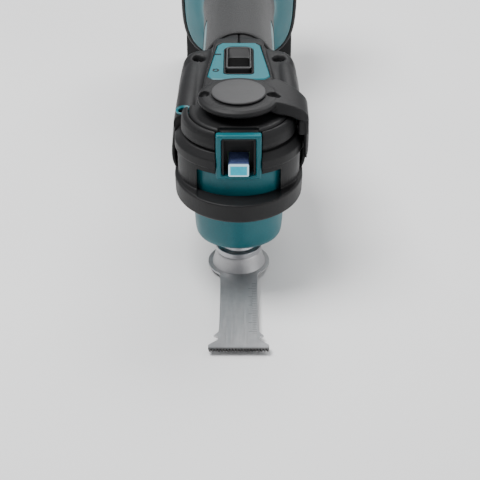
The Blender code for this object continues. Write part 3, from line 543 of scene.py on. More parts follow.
def build_blade():
    """The flat blade, with the dimpled cup that lifts it to the spindle."""
    blade = prism("blade_plate", blade_outline(), BLADE_LOW, BLADE_TOP, chamfer=0.12)
    carve(blade, peg("hole", 13.7, 0, 6))
    cup = [(13.1, 2.2), (14.9, 2.2), (15.1, 3.9), (14.6, 4.8), (12.95, 10.4), (12.7, 11.4), (12.2, 12.0),
           (8.6, 12.0), (8.4, 11.8), (8.4, 10.7), (8.6, 10.5), (10.9, 10.5), (11.3, 10.2), (13.0, 4.4)]
    join(blade, turned("cup", cup))
    for i in range(6):
        angle = math.radians(60 * i + 30)
        dimple = turned("dimple", [(0, 11.2), (0.9, 11.2), (1.3, 12.4), (0, 12.4)], "Z",
                        (10.6 * math.cos(angle), 10.6 * math.sin(angle), 0), 16)
        carve(blade, dimple)
    fit_out(blade, BLADE_STEEL, "blade", body="output")


def build_spindle():
    body = [(8.0, 12.3), (12.7, 12.3), (13.0, 12.6), (13.0, 15.2), (12.7, 15.5), (11.0, 15.7), (10.3, 16.2),
            (10.0, 17.0), (10.0, 18.6), (9.7, 18.8), (9.7, 19.3), (10.0, 19.5), (10.0, 84.0), (8.5, 84.0),
            (8.5, 91.0), (7.1, 91.0), (7.1, 38.0), (4.6, 36.0), (4.6, 27.0), (8.0, 25.4)]
    fit_out(turned("spindle_body", body), STEEL, "spindle", body="output")
    shaft = [(0, 0), (6.2, 0), (6.8, 0.3), (7.0, 0.8), (7.0, 1.5), (6.6, 2.0), (3.9, 4.9), (2.0, 5.0),
             (2.0, 26.0), (3.8, 27.5), (3.8, 65.6), (6.5, 65.6), (6.5, 68.5), (3.8, 68.5), (3.8, 100.4),
             (3.2, 101.0), (0, 101.0)]
    shaft = turned("clamp_foot_shaft", shaft)
    carve(shaft, turned("socket", [(0, -1), (2.4, -1), (2.2, 0.9), (0, 0.9)], steps=6))
    carve(shaft, peg("pin_hole", 1.5, -10, 10, "X", (0, 0, 98.3), 24))
    fit_out(shaft, STEEL, "clamp_shaft", body="clamp")


# ---- head

def build_nose():
    """Lower cover of the head: smooth and satin, rounded under at the front."""
    levels = spline([(21.6, 18.2, 14.4), (21.9, 19.9, 16.0), (23.4, 22.2, 18.2), (26.6, 23.8, 20.6),
                     (33.0, 24.5, 22.4), (43.0, 24.9, 24.0), (53.0, 25.0, 25.0)], 4)
    nose = stacked("nose_shell", levels, nose_outline)
    bore = [(0, 20.0), (11.2, 20.0), (11.2, 22.9), (16.4, 23.2), (18.3, 25.2), (18.3, 49.0), (19.9, 51.0),
            (19.9, 55.0), (0, 55.0)]
    carve(nose, turned("bore", bore, steps=48))
    carve(nose, turned("mouth", [(0, 20.0), (12.4, 20.0), (12.0, 21.9), (11.3, 22.3), (0, 22.3)], steps=48))
    fit_out(nose, TEAL, "nose_cover")


def nose_outline(half_width, depth):
    """Half an ellipse at the front and rounded corners at the back."""
    back, corner = 20.4, 4.0
    front = [(half_width * c, depth * s) for c, s in arc(1.0, 180, 360, 48)]
    right = arc(corner, 0, 90, 6, (half_width - corner, back - corner))
    return front + mirrored(right)


GUARD_LEVELS = (
    # height, half width, depth
    (50.8, 32.9, 35.0), (51.1, 33.4, 35.7), (52.6, 34.7, 37.6), (53.4, 34.9, 37.9), (62.3, 35.2, 38.6),
    (63.2, 35.0, 38.3), (63.6, 34.5, 37.7), (63.7, 33.4, 31.0), (64.0, 33.2, 29.8), (79.3, 33.5, 29.7),
    (79.6, 34.2, 30.8), (80.0, 34.7, 31.7), (80.4, 34.8, 31.8), (84.7, 34.8, 31.8), (85.1, 34.7, 31.7),
    (88.6, 31.8, 29.3), (88.8, 31.0, 28.6), (89.0, 29.4, 27.9), (89.9, 29.4, 27.9), (90.1, 30.8, 28.9),
    (90.7, 31.2, 29.5), (93.0, 31.2, 29.8), (96.4, 30.9, 29.4), (98.6, 30.1, 28.8), (99.7, 28.9, 28.1),
    (100.0, 28.2, 27.7),
)


def front_outline(half_width, depth, back):
    """The front of the head's outline, cut off straight at back."""
    start = math.degrees(math.asin(-back / depth))
    return [(half_width * c, depth * s) for c, s in arc(1.0, 180 + start, 360 - start, 40)]


def build_guard():
    """Black outer guard: rim with its ledge, then the wall, ridge, groove and pads beside the lamp."""
    guard = stacked("guard_shell", GUARD_LEVELS, head_outline)
    carve(guard, prism("inner", head_outline(27.3, 27.3, 20), 40, 120))
    carve(guard, prism("wings", front_outline(30.5, 27.6, -12.2), 60.7, 78.3))
    carve(guard, block("bay", (-12.3, -50, 63.3), (12.3, -10, 120)))
    carve(guard, block("band_bay", (-22.3, -50, 63.0), (22.3, -13, 76.2)))
    for side in (-1, 1):
        low, high = sorted((side * 20.0, side * 31.2))
        carve(guard, block("pocket", (low, -8, 40), (high, 20, 86.6)))
        # A thin line down the lower wall beside the band.
        low, high = sorted((side * 26.4, side * 26.9))
        carve(guard, block("step_line", (low, -50, 64.6), (high, -14.9, 77.4)))
    soften(guard, 0.38, 1)
    fit_out(guard, BLACK, "head_guard", angle=NO_EDGE)


WINDOW = (0.0, 86.6)  # x and z of the window's middle


def build_head_cover():
    """Teal lamp frame and front band, and the black crown over the top of the head."""
    band = prism("lamp_frame", head_outline(27.0, 27.0), 53.4, 80.0)
    join(band, prism("band_wings", front_outline(30.2, 27.3, -12.5), 61.0, 78.0))
    join(band, block("frame_block", (-12.0, -29.0, 73.6), (12.0, -24.5, 99.8), 0.9))
    carve(band, prism("inner", head_outline(24.9, 24.9, 20), 40, 110))
    carve(band, prism("window", rounded_rectangle(9.2, 11.0, 1.2, WINDOW), -40, -17, "Y"))
    carve(band, prism("mouth", rounded_rectangle(9.7, 11.5, 1.6, WINDOW), -40, -28.5, "Y"))
    join(band, block("window_sill", (-9.4, -28.6, 74.2), (9.4, -20.2, 75.6)))
    soften(band, 0.38, 1)
    fit_out(band, TEAL, "head_cover", angle=NO_EDGE)
    build_crown()


def build_crown():
    """Black top of the head, with a notch behind the lamp's frame."""
    levels = ((84.0, 26.9), (99.8, 26.9), (100.8, 26.3), (101.2, 25.4))
    crown = stacked("head_crown", levels, lambda radius: head_outline(radius, radius))
    join(crown, peg("rear", 22.9, 95.4, 101.2))
    carve(crown, prism("inner", head_outline(24.9, 24.9, 20), 40, 99.0))
    join(crown, block("sill", (-11.6, -24.6, 97.9), (11.6, -19.8, 99.8)))
    carve(crown, block("notch", (-10.6, -40, 98.8), (10.6, -21.6, 110), 0.6))
    carve(crown, block("front", (-12.3, -40, 80), (12.3, -24.3, 110)))
    carve(crown, block("behind", (-9.6, -40, 80), (9.6, -17, 97.7)))
    carve(crown, peg("hole", 12.6, 90, 110))
    soften(crown, 0.5, 2)
    fit_out(crown, BLACK, angle=NO_EDGE)


def build_lamp():
    """A black well behind the window, and the light guide that comes out of it over the sill."""
    well = prism("lamp_well", rounded_rectangle(8.9, 10.7, 1.1, WINDOW), -28, -19.9, "Y")
    carve(well, block("hollow", (-7.9, -35, 70), (7.9, -20.7, WINDOW[1] + 9.7)))
    carve(well, block("slot", (-5.9, -25, 70), (5.9, -10, 85.9)))
    fit_out(well, BLACK, "led_housing")
    levels = ((-30.7, 0.35, 0.0), (-30.35, 0.0, 0.0), (-20.2, 0.0, 0.95))
    fit_out(stacked("lamp_lens", levels, lens_outline, "Y"), LAMP, "led_lens")


def lens_outline(inset, rise):
    """The lens from the front. rise lifts its top, with its underside left level."""
    return rounded_rectangle(5.4 - inset, 3.65 - inset + rise, 0.9, (0, 79.95 + rise))


# ---- lock lever

# x and z of the arm's middle line, its half thickness, the depth of its front wall, and its back edge
ARM = ((12.0, 107.8, 1.6, 3.0, 15.4), (16.5, 107.6, 1.7, 3.6, 19.0), (21.0, 106.9, 1.9, 4.6, 21.4),
       (28.0, 104.9, 1.9, 3.8, 17.6), (33.0, 102.3, 1.8, 3.4, 14.4), (35.6, 99.4, 1.6, 2.1, 13.2),
       (36.3, 95.0, 1.2, 1.6, 12.4), (36.4, 85.0, 1.2, 1.6, 10.8), (36.3, 79.0, 1.1, 1.4, 9.4),
       (36.2, 77.0, 0.7, 0.9, 8.6))
ARM_FRONT = -11.4


def arm_ring(before, here, after):
    """Section of the arm: a flat top land, chamfered edges and a thicker wall under the front edge."""
    x, z, thick, drop, back = here
    along = Vector((after[0] - before[0], 0, after[1] - before[1])).normalized()
    across = Vector((-along.z, 0, along.x))
    section = ((ARM_FRONT + 3.0, 0.85 * thick), (ARM_FRONT + 3.6, thick), (back - 2.0, thick),
               (back - 0.5, 0.5 * thick), (back, -0.1 * thick), (back - 0.8, -thick), (ARM_FRONT + 6, -thick),
               (ARM_FRONT + 5, -drop), (ARM_FRONT + 1, -drop), (ARM_FRONT + 0.2, 0.8 - drop),
               (ARM_FRONT, 1.4 - drop))
    middle = Vector((x, 0, z))
    return [middle + across * offset + Vector((0, y, 0)) for y, offset in section]


def pit(place, size):
    bm = bmesh.new()
    bmesh.ops.create_uvsphere(bm, u_segments=24, v_segments=12, radius=1.0)
    bm.transform(Matrix.Translation(place) @ Matrix.Diagonal((*size, 1.0)))
    return piece_of("pit", bm)


def build_lever():
    """Round hub with two finger pits, an arm over the right shoulder, and the lighter disc on top."""
    hub = [(9.6, 96.2), (12.0, 96.2), (12.0, 104.9), (18.6, 104.9), (21.0, 105.6), (22.0, 106.8),
           (22.0, 107.7), (21.4, 108.6), (19.6, 109.5), (17.6, 109.7), (6.0, 109.7), (6.0, 106.0),
           (9.6, 106.0)]
    lever = turned("lever_body", hub, steps=96)
    fine = spline(ARM, 4)
    before, after = fine[:1] + fine[:-1], fine[1:] + fine[-1:]
    join(lever, lofted("arm", [arm_ring(*three) for three in zip(before, fine, after)]))
    join(lever, block("tab", (31.8, -11.0, 90.3), (37.2, 10.2, 99.2), 1.0))
    carve(lever, pit((18.7, -0.6, 109.9), (3.9, 2.9, 4.4)))
    carve(lever, pit((-18.6, 0.2, 109.9), (2.9, 3.6, 4.0)))
    for i in range(5):
        rib = [(0, -7.6), (0.5, -7.2), (0.5, 5.8), (0, 6.2)]
        carve(lever, turned("rib", rib, "Y", (37.6, 0, 79.6 + 2.4 * i), 12))
    soften(lever, 0.36, 2)
    fit_out(lever, BLACK, "lock_lever", body="lever", angle=NO_EDGE)
    cap = [(0, 106.4), (5.6, 106.4), (5.6, 109.95), (13.9, 109.95), (14.3, 110.2), (14.5, 110.6),
           (14.45, 111.0), (14.1, 111.35), (13.4, 111.5), (8.0, 111.58), (1.0, 111.6), (0, 111.6)]
    fit_out(turned("lever_disc", cap, steps=96), GREY, "lever_cap", body="lever")


# ---- housing

# y, half width, bottom, shoulder top, crest half width, crest top
SHOULDERS = (
    (4.6, 36.4, 51.5, 93.0, 19.5, 103.0),
    (24.0, 36.6, 49.0, 94.5, 19.5, 103.6),
    (50.0, 35.8, 47.5, 95.0, 17.5, 103.6),
    (68.0, 35.2, 47.5, 95.0, 15.5, 103.6),
    (84.0, 32.8, 47.8, 95.6, 14.0, 103.2),
)
# y, half width, half height
GRIPS = ((97.0, 21.5, 25.8), (140.0, 21.0, 25.4), (180.0, 21.5, 25.8), (198.0, 22.6, 26.8))
DIAL_SLOT = ((-4.2, 170.6, 90), (4.2, 193.4, 110))  # its two corners
GRIP_ANGLES = (-90, -62, -40, -20, 4, 22, 34, 44, 54, 66, 78, 90)
WALL = 2.2


def shoulder_half(y, half, low, top, crest, peak, inset):
    """Right half of the wide front section, from the bottom's middle to the crest's middle."""
    half, low, top, crest, peak = half - inset, low + inset, top - inset, crest - inset, peak - inset
    height = top - low
    return [(0, y, low), (0.52 * half, y, low), (0.84 * half, y, low + 0.12 * height),
            (half, y, low + 0.34 * height), (half, y, low + 0.64 * height), (0.94 * half, y, top - 4.5),
            (0.82 * half, y, top - 0.6), (0.70 * half, y, top - 0.2), (crest + 2.0, y, top + 0.2),
            (crest, y, peak - 1.6), (crest - 1.8, y, peak), (0, y, peak)]


def grip_half(y, half_width, half_height, inset=0.0):
    """Right half of the oval grip section, from bottom to top."""
    width, height = half_width - inset, half_height - inset
    angles = [math.radians(degrees) for degrees in GRIP_ANGLES]
    return [(width * math.cos(angle), y, MOTOR_Z + height * math.sin(angle)) for angle in angles]


def round_ring(half_points):
    """Smooths a half section and mirrors it. Its first and last points lie on the middle plane."""
    fine = spline(half_points, 3)
    return fine + [(-x, y, z) for x, y, z in reversed(fine[1:-1])]


def smooth_along(halves, steps):
    """Adds sections between half sections, smoothed from front to back."""
    lines = [spline(line, steps) for line in zip(*halves)]
    return [list(section) for section in zip(*lines)]


def housing_sections(inset):
    halves = [shoulder_half(*station, inset) for station in SHOULDERS]
    halves += [grip_half(*station, inset) for station in GRIPS]
    return smooth_along(halves, 5)


def half_shell(name, side, first, last):
    """One half of the housing between two stations, as C-shaped sections with eased parting edges."""
    rings = []
    for outer, inner in zip(housing_sections(0.0), housing_sections(WALL)):
        if not first <= outer[0][1] <= last:
            continue
        outer = spline(outer, 3)
        low, high = outer[0], outer[-1]
        outer[0] = (0.55, *low[1:])
        outer[-1] = (0.55, *high[1:])
        outer = [(0, low[1], low[2] + 0.5)] + outer + [(0, high[1], high[2] - 0.5)]
        ring = outer + spline(inner, 3)[::-1]
        rings.append([(side * max(x, GAP / 2), y, z) for x, y, z in ring])
    return lofted(name, rings)


def bezel_outline(grow=0.0):
    """Trapezium with cut corners, wide at the front."""
    return mirrored([(14.2, 30.0 - grow), (17.4 + grow, 33.6), (16.8 + grow, 40.0), (12.4 + grow, 74.6),
                     (9.6, 78.0 + grow)])


def lobe(side, front):
    """The rounded tube along a shoulder's top, closed at both ends."""
    end = 81.5
    stations = [(front, 5.6), (front + 0.5, 6.3), (front + 1.6, 6.8), (34.0, 7.0), (60.0, 6.6), (72.0, 5.8),
                (78.5, 4.0), (end, 1.0)]
    rings = []
    for y, radius in spline(stations, 3):
        share = y / end
        centre = (side * (29.1 - 3.4 * share), 88.4 + 0.9 * share)
        rings.append([(x, y, z) for x, z in arc(radius, 0, 360 - 12, 29, centre)])
    return lofted("lobe", rings)


# x, y, the head's radius
SCREWS = {"boss_screw": (-29.6, 10.0, 3.2), "case_screw_left": (-23.4, 75.5, 2.9),
          "case_screw_right": (23.4, 75.5, 2.9)}


def screw_well(x, y, radius):
    """Cutter for a chamfered screw hole in the top of a shoulder."""
    outline = [(0, 89.6), (radius, 89.6), (radius, 93.6), (radius + 1.0, 95.2), (radius + 1.0, 120), (0, 120)]
    return turned("well", outline, "Z", (x, y, 0), 40)


def build_housing():
    """Two halves, each as a rounded shoulder in front and a plain shell under the grip's sleeve."""
    for name, side in (("left", -1), ("right", 1)):
        front = half_shell(f"housing_shell_{name}", side, 0.0, 99.5)
        join(front, lobe(side, 5.0 if side < 0 else 15.9))
        for x, y, radius in SCREWS.values():
            if x * side > 0:
                join(front, peg("post", radius + 1.6, 86.8, 94.0, "Z", (x, y, 0), 40))
                carve(front, screw_well(x, y, radius + 0.4))
        carve(front, prism("pocket", bezel_outline(GAP), 102.0, 110.0))
        carve(front, block("switch_slot", (-8.8, 35.5, 96), (8.8, 72.7, 110)))
        carve(front, block("nose_room", (-25.4, 0, 40), (25.4, 21, 56)))
        carve(front, peg("crown_room", 23.2, 90, 130, steps=96))
        if side > 0:
            carve(front, block("tab_room", (27, -20, 74), (60, 15.6, 120)))
        soften(front, 0.62, 3)
        fit_out(front, BLACK, f"housing_{name}", angle=NO_EDGE)
        rear = half_shell(f"housing_grip_{name}", side, 98.6, 200.0)
        carve(rear, block("dial_slot", *DIAL_SLOT))
        fit_out(rear, BLACK)


def build_screws():
    """Pan heads with a six-lobed socket in the shoulders' wells, and a teal ring round the front well."""
    for node, (x, y, radius) in SCREWS.items():
        head = [(0, 89.9), (radius, 89.9), (radius, 91.0), (radius * 0.85, 91.7), (radius * 0.5, 92.15),
                (0, 92.2)]
        screw = turned(node + "_head", head, "Z", (x, y, 0), 40)
        socket = []
        for i in range(36):
            angle = math.pi * i / 18
            reach = radius * (0.44 + 0.07 * math.cos(6 * angle))
            socket.append((x + reach * math.cos(angle), y + reach * math.sin(angle)))
        carve(screw, prism("socket", socket, 90.9, 94.0))
        fit_out(screw, STEEL, node)
        if node == "boss_screw":
            outer = radius + 1.7
            rim = [(outer - 1.4, 93.5), (outer - 0.1, 94.2), (outer, 95.1), (outer - 0.4, 95.4),
                   (outer - 1.4, 94.6)]
            fit_out(turned("boss_ring", rim, "Z", (x, y, 0), 48), TEAL)


# ---- grip

STRIPE = (104.0, 152.0, 76.0, 87.0)  # front, back, low, high


def sleeve_rings(steps, ends):
    """Rings of the grip's sleeve: each end's list gives how far in along the length, and how proud."""
    sections = smooth_along([grip_half(*station) for station in GRIPS], steps)
    front, back = sleeve_end(97.0, 1, ends), sleeve_end(196.0, -1, ends)
    middle = [grow_section(section, 1.5) for section in sections if 100.5 < section[0][1] < 193.0]
    return [round_ring(section) for section in front + middle + back[::-1]]


def sleeve_end(y, direction, ends):
    return [grip_section(y + direction * along, proud) for along, proud in ends]


def grip_section(y, proud):
    """Right half of the grip's section at y, grown by proud."""
    return grow_section(grip_half(y, *grip_size(y)), proud)


def grip_size(y):
    """Half width and half height of the grip at y."""
    for (y0, w0, h0), (y1, w1, h1) in zip(GRIPS, GRIPS[1:]):
        if y <= y1:
            share = (y - y0) / (y1 - y0)
            return w0 + (w1 - w0) * share, h0 + (h1 - h0) * share
    return GRIPS[-1][1:]


def grow_section(section, proud):
    """Moves a half section's points away from the grip's middle."""
    grown = []
    for x, y, z in section:
        out = Vector((x, z - MOTOR_Z)).normalized() * proud
        grown.append((x + out.x, y, z + out.y))
    return grown


def build_grip():
    outer = sleeve_rings(6, ((0.0, 0.35), (0.15, 0.9), (0.7, 1.35), (1.8, 1.5)))
    inner = sleeve_rings(6, ((0.0, 0.3), (0.15, 0.3), (0.7, 0.3), (1.8, 0.3)))
    inner = [[pull_in(point) for point in ring] for ring in inner]
    sleeve = lofted("grip_rubber", outer + inner[::-1], closed=True)
    for side in (-1, 1):
        carve(sleeve, stripe_prism("opening", side, 0.0))
    carve(sleeve, block("dial_slot", *DIAL_SLOT))
    fit_out(sleeve, RUBBER, "grip_sleeve")
    build_stripes()


def grip_skin(name, places, proud):
    """A length of the grip's outline, grown by proud."""
    return lofted(name, [round_ring(grip_section(y, proud)) for y in places])


def stripe_prism(name, side, inset):
    """The outline of a side stripe, run through the grip's wall on one side."""
    front, back, low, high = STRIPE
    outline = rounded_rectangle((back - front) / 2 - inset, (high - low) / 2 - inset, 3.0 - inset,
                                ((front + back) / 2, (low + high) / 2))
    reach = sorted((side * 14.0, side * 40.0))
    return prism(name, outline, *reach, "X")


def pull_in(point):
    """Brings a point of the sleeve's outer rings back to just outside the housing."""
    x, y, z = point
    out = Vector((x, z - MOTOR_Z))
    proud = 1.2 if 99.0 < y < 194.0 else 0.0
    out *= (out.length - proud) / out.length
    return (out.x, y, MOTOR_Z + out.y)


def build_stripes():
    """Teal inserts in the openings at the grip's sides, a little proud of the housing."""
    for name, side in (("grip_stripe_left", -1), ("grip_stripe_right", 1)):
        skin = grip_skin(name, (98.0, 110.0, 125.0, 140.0, 160.0), 1.1)
        carve(skin, grip_skin("hollow", (90.0, 110.0, 125.0, 140.0, 170.0), 0.25))
        carve(skin, stripe_prism("keep", side, GAP), "INTERSECT")
        fit_out(skin, TEAL)


# ---- switch and dial

def slot_outline(half, front, back, front_radius, back_radius):
    """A slot from above, with its own corner radius at each end."""
    points = []
    for i, (side, end, radius) in enumerate(((1, back, back_radius), (-1, back, back_radius),
                                             (-1, front, front_radius), (1, front, front_radius))):
        inward = radius if end == front else -radius
        points += arc(radius, 90 * i, 90 * i + 90, 8, (side * (half - radius), end + inward))
    return points


def build_switch():
    levels = ((102.3, 0.0), (103.3, 0.0), (103.8, 0.55))
    bezel = stacked("bezel_plate", levels, lambda inset: inset_outline(bezel_outline(), inset))
    carve(bezel, prism("opening", slot_outline(8.7, 35.6, 72.6, 2.6, 5.2), 96, 110))
    fit_out(bezel, TEAL, "switch_bezel")
    liner = prism("switch_liner", slot_outline(8.5, 35.8, 72.4, 2.4, 5.0), 101.6, 104.1, chamfer=0.2)
    carve(liner, prism("opening", slot_outline(7.9, 36.4, 71.8, 1.9, 4.5), 96, 110))
    fit_out(liner, BLACK)
    floor = prism("switch_recess", slot_outline(8.5, 35.8, 72.4, 2.4, 5.0), 100.2, 101.5)
    carve(floor, block("knob_way", (-7.5, 36.4, 90), (7.5, 71.8, 110)))
    fit_out(floor, BLACK)
    bar = prism("on_mark", rounded_rectangle(1.8, 0.75, 0.4, (-12.0, 62.0), 4), 103.75, 103.95)
    ring = turned("off_mark", [(0.95, 103.75), (1.9, 103.75), (1.9, 103.95), (0.95, 103.95)], "Z",
                  (-12.9, 41.0, 0), 40)
    for mark in (bar, ring):
        fit_out(mark, GLOSS)
    build_knob()


def build_knob():
    """Sliding plate with a knob: a thumb hollow inside a thin rim, ramped up to a rounded rear end."""
    slider = block("knob_plate", (-10.5, 37, 98.0), (10.5, 76, 99.5), 0.3, 2)
    side = [(44.0, 98.6), (44.0, 103.3), (44.6, 103.9), (57.0, 104.2), (68.0, 105.0), (69.8, 104.8),
            (71.2, 103.4), (71.2, 98.6)]
    knob = prism("knob", side, -7.2, 7.2, "X")
    carve(knob, prism("keep", slot_outline(7.2, 44.0, 71.2, 1.4, 4.2), 90, 120), "INTERSECT")
    hollow = [(45.4, 112.0), (45.7, 100.6), (46.2, 100.2), (64.0, 100.2), (65.0, 100.7), (69.0, 104.6),
              (69.6, 112.0)]
    scoop = prism("scoop", hollow, -6.2, 6.2, "X")
    carve(scoop, prism("keep", slot_outline(6.2, 45.0, 69.9, 1.0, 3.4), 90, 120), "INTERSECT")
    carve(knob, scoop)
    soften(knob, 0.22, 1)
    join(slider, knob)
    # The knob's lighter plastic is partly rubbed wear and partly painted highlight.
    fit_out(slider, WORN_AND_HIGHLIT, "switch_slider", body="switch", angle=math.radians(60))
    # Painted shade: a near-black sheet on the thumb hollow's floor stands in for the shade in the hollow.
    floor = prism("knob_painted_shade", slot_outline(6.0, 45.8, 64.6, 0.8, 1.6), 100.1, 100.5)
    fit_out(floor, PAINTED_SHADE, body="switch")


def build_dial():
    """Thumb wheel across the grip, with notches round its edge."""
    middle_y, middle_z = 182.0, 92.8
    outline = [(1.8, -3.5), (9.8, -3.5), (10.4, -3.2), (11.0, -2.4), (11.0, 2.4), (10.4, 3.2), (9.8, 3.5),
               (1.8, 3.5)]
    dial = turned("dial_wheel", outline, "X", (0, middle_y, middle_z), 96)
    for i in range(18):
        angle = math.radians(20 * i)
        centre = (0, middle_y + 11.5 * math.cos(angle), middle_z + 11.5 * math.sin(angle))
        carve(dial, peg("notch", 0.95, -4, 4, "X", centre, 12))
    fit_out(dial, BLACK, "speed_dial", body="dial")


# ---- rear cover and battery

FLARE = ((198.3, 23.6, 27.8, 75.0, 2.2), (203.0, 25.4, 31.2, 75.6, 2.4), (210.0, 30.8, 39.6, 77.6, 2.75),
         (218.0, 35.8, 48.5, 79.6, 3.2), (223.0, 37.4, 51.4, 80.0, 3.5), (236.0, 37.6, 51.6, 80.0, 3.5))
REAR_WALL = 2.4


def flare_rings(stations):
    """Rings of the rear cover. Each station is y, half width, half height, middle's height and power."""
    rings = []
    for y, width, height, middle, power in stations:
        outline = superellipse(width, height, power)
        rings.append([(x, y, middle + z) for x, z in outline])
    return rings


def build_rear():
    fine = spline(FLARE, 4)
    inner = [(y, w - REAR_WALL, h - REAR_WALL, m, p) for y, w, h, m, p in fine]
    cover = lofted("rear_shell", flare_rings(fine) + flare_rings(inner[::-1]), closed=True)
    carve(cover, block("battery_way", (-33.4, 231.6, 10), (33.4, 250, 46), 1.0))
    fit_out(cover, TEAL, "rear_cover")
    outline = spline([(223.4, 38.0), (223.8, 39.0), (225.4, 39.85), (229.8, 39.96), (234.6, 39.85),
                      (236.1, 39.2), (236.5, 38.1)], 3)
    rings = flare_rings([(y, w, w + 13.97, 80.0, 3.5) for y, w in outline])
    rings += flare_rings([(y, 37.75, 51.75, 80.0, 3.5) for y in (236.4, 223.5)])
    bumper = lofted("bumper_band", rings, closed=True)
    carve(bumper, block("battery_way", (-33.4, 231.2, 10), (33.4, 250, 46)))
    fit_out(bumper, RUBBER, "rear_bumper")


PACK_HALF_WIDTH, PACK_HEIGHT, PACK_CORNER = 37.5, 115.0, 5.0


def pack_outline(inset):
    """The battery pack from behind."""
    middle = PACK_HEIGHT / 2
    return rounded_rectangle(PACK_HALF_WIDTH - inset, middle - inset, PACK_CORNER - inset / 2, (0, middle), 8)


def pack_case(name, front, back):
    """A length of the pack with its front and back edges eased."""
    levels = ((front, 1.0), (front + 0.3, 0.3), (front + 1.0, 0.0), (back - 2.0, 0.0), (back - 0.6, 0.6),
              (back, 2.0))
    return stacked(name, levels, pack_outline, "Y")


def build_battery():
    cover = pack_case("battery_front", 241.0, 257.0)
    carve(cover, block("trim", (-50, 255.8, -5), (50, 260, 120)))
    rail = mirrored([(24.4, 242.0), (24.4, 236.7), (28.6, 236.7), (28.6, 232.7)])
    join(cover, prism("rails", rail, 46.9, 112, chamfer=0.6))
    carve(cover, block("hollow", (-35.2, 243.4, 2.6), (35.2, 262, 112.4)))
    for side in (-1, 1):
        carve(cover, block("terminal_slot", (side * 14 - 1.6, 225, 90), (side * 14 + 1.6, 242, 130)))
    carve(cover, block("latch_room", (-15.8, 230, 5.2), (15.8, 250, 24.6)))
    carve(cover, block("hook_room", (-6.6, 225, 20), (6.6, 250, 45.6)))
    fit_out(cover, BLACK, "battery_cover", body="battery")
    build_tray()
    build_latch()


def build_tray():
    tray = pack_case("battery_back", 255.6, 285.0)
    carve(tray, block("trim", (-50, 250, -5), (50, 256.3, 120)))
    carve(tray, block("hollow", (-35.2, 250, 2.6), (35.2, 282.4, 112.4)))
    # Finger grooves down both sides, and a shallow blank panel with the charge gauge on the back.
    for side in (-1, 1):
        for i in range(6):
            y = 262.0 + 3.2 * i
            groove = turned("groove", [(0, 24), (0.9, 25), (0.9, 90), (0, 91)], "Z", (side * 37.9, y, 0), 12)
            carve(tray, groove)
    carve(tray, prism("panel", rounded_rectangle(27.0, 24.0, 4.0, (0, 72.0)), 284.4, 290, "Y"))
    carve(tray, prism("gauge_pocket", rounded_rectangle(16.0, 4.4, 2.2, (0, 30.0)), 284.2, 290, "Y"))
    fit_out(tray, GREY, "battery_tray", body="battery")
    gauge = prism("gauge_window", rounded_rectangle(15.6, 4.0, 2.0, (0, 30.0)), 283.4, 284.7, "Y", 0.2)
    fit_out(gauge, GLOSS, body="battery")
    for i in range(4):
        outline = rounded_rectangle(1.6, 0.8, 0.6, (-10.5 + 5.2 * i, 30.0), 4)
        lamp = prism(f"gauge_lamp_{i + 1}", outline, 284.5, 284.85, "Y")
        fit_out(lamp, GREEN, body="battery")
    button = turned("gauge_button", [(0, 284.5), (2.4, 284.5), (2.4, 284.9), (2.0, 285.0), (0, 285.0)], "Y",
                    (10.8, 0, 30.0), 32)
    fit_out(button, GREY, body="battery")


def build_latch():
    latch = block("latch_button", (-15.2, 237.2, 5.8), (15.2, 243.6, 23.8), 1.4, 4)
    for i in range(4):
        height = 10.0 + 3.2 * i
        rib = turned("rib", [(0, -11), (0.6, -10.6), (0.6, 10.6), (0, 11)], "X", (0, 237.1, height), 12)
        carve(latch, rib)
    hook = [(229.6, 35.0), (232.6, 38.6), (243.4, 38.6), (243.4, 20.0), (238.2, 20.0), (238.2, 33.0)]
    join(latch, prism("hook", hook, -6.0, 6.0, "X", 0.3))
    fit_out(latch, GREY, "battery_latch", body="latch")


# ---- the CAD nodes that stay

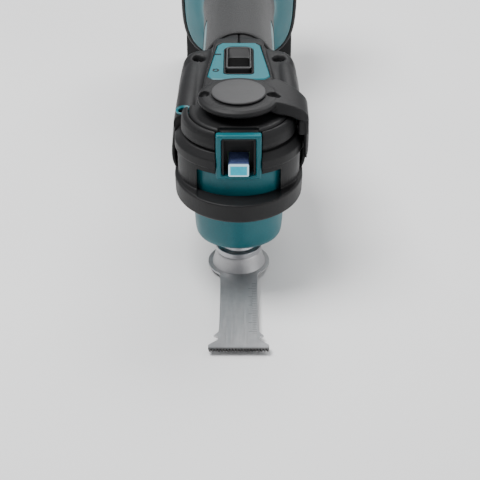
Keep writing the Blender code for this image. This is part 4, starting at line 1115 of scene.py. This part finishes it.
def dress_frame():
    """Gives each CAD node that stays visible the look of its slot, shaded smooth with edges sharp over SHARP.
    """
    slots = {part["node"]: part["material_slot"] for part in frame["record"]["subparts"]}
    along_y = ("rotor_shaft", "motor_bearing_front", "motor_bearing_rear", "eccentric_bearing", "rotor_core")
    for name, node in frame["nodes"].items():
        look = SHAFT_STEEL if name in along_y else SLOT_LOOKS[slots[name]]
        node.data.materials.clear()
        node.data.materials.append(look)
        node.data.shade_smooth()
        node.data.set_sharp_from_angle(angle=SHARP)


# ---- studio

def area_light(name, place, aim, size, power):
    light = bpy.data.lights.new(name, "AREA")
    light.shape = "RECTANGLE"
    light.size, light.size_y = size
    light.energy = power
    lamp = bpy.data.objects.new(name, light)
    lamp.location = place
    lamp.rotation_euler = (Vector(aim) - Vector(place)).to_track_quat("-Z", "Y").to_euler()
    bpy.context.scene.collection.objects.link(lamp)


def build_studio():
    bm = bmesh.new()
    bmesh.ops.create_grid(bm, x_segments=1, y_segments=1, size=4.0)
    mesh = bpy.data.meshes.new("floor")
    bm.to_mesh(mesh)
    bm.free()
    floor = bpy.data.objects.new("floor", mesh)
    floor.location.z = -0.0003
    mesh.materials.append(floor_paint("floor_paint"))
    bpy.context.scene.collection.objects.link(floor)
    world = bpy.data.worlds.new("studio")
    world.use_nodes = True
    world.node_tree.nodes["Background"].inputs["Color"].default_value = (0.93, 0.95, 1.0, 1.0)
    world.node_tree.nodes["Background"].inputs["Strength"].default_value = 0.3
    bpy.context.scene.world = world
    middle = (0.0, AXIS_Y + 0.05, 0.06)
    area_light("key", (-0.4, -0.1, 1.1), middle, (0.6, 0.6), 19.0)
    area_light("back", (0.35, 0.7, 0.95), middle, (0.9, 0.4), 11.0)
    area_light("fill", (0.9, -0.5, 0.5), middle, (0.8, 0.8), 4.0)


def build_camera():
    """Looks down at the head from the front, a little under eight tenths of a metre away."""
    camera = bpy.data.cameras.new("camera")
    camera.lens = 99.75
    camera.sensor_width = 36.0
    camera.clip_start = 0.01
    holder = bpy.data.objects.new("camera", camera)
    down = math.radians(32.8)
    holder.location = (0.0007, AXIS_Y - 0.637, 0.4276)
    holder.rotation_euler = (math.pi / 2 - down, 0, 0)
    bpy.context.scene.collection.objects.link(holder)
    bpy.context.scene.camera = holder


dress_frame()
build_blade()
build_spindle()
build_nose()
build_guard()
build_head_cover()
build_lamp()
build_lever()
build_housing()
build_screws()
build_grip()
build_switch()
build_dial()
build_rear()
build_battery()
build_studio()
build_camera()
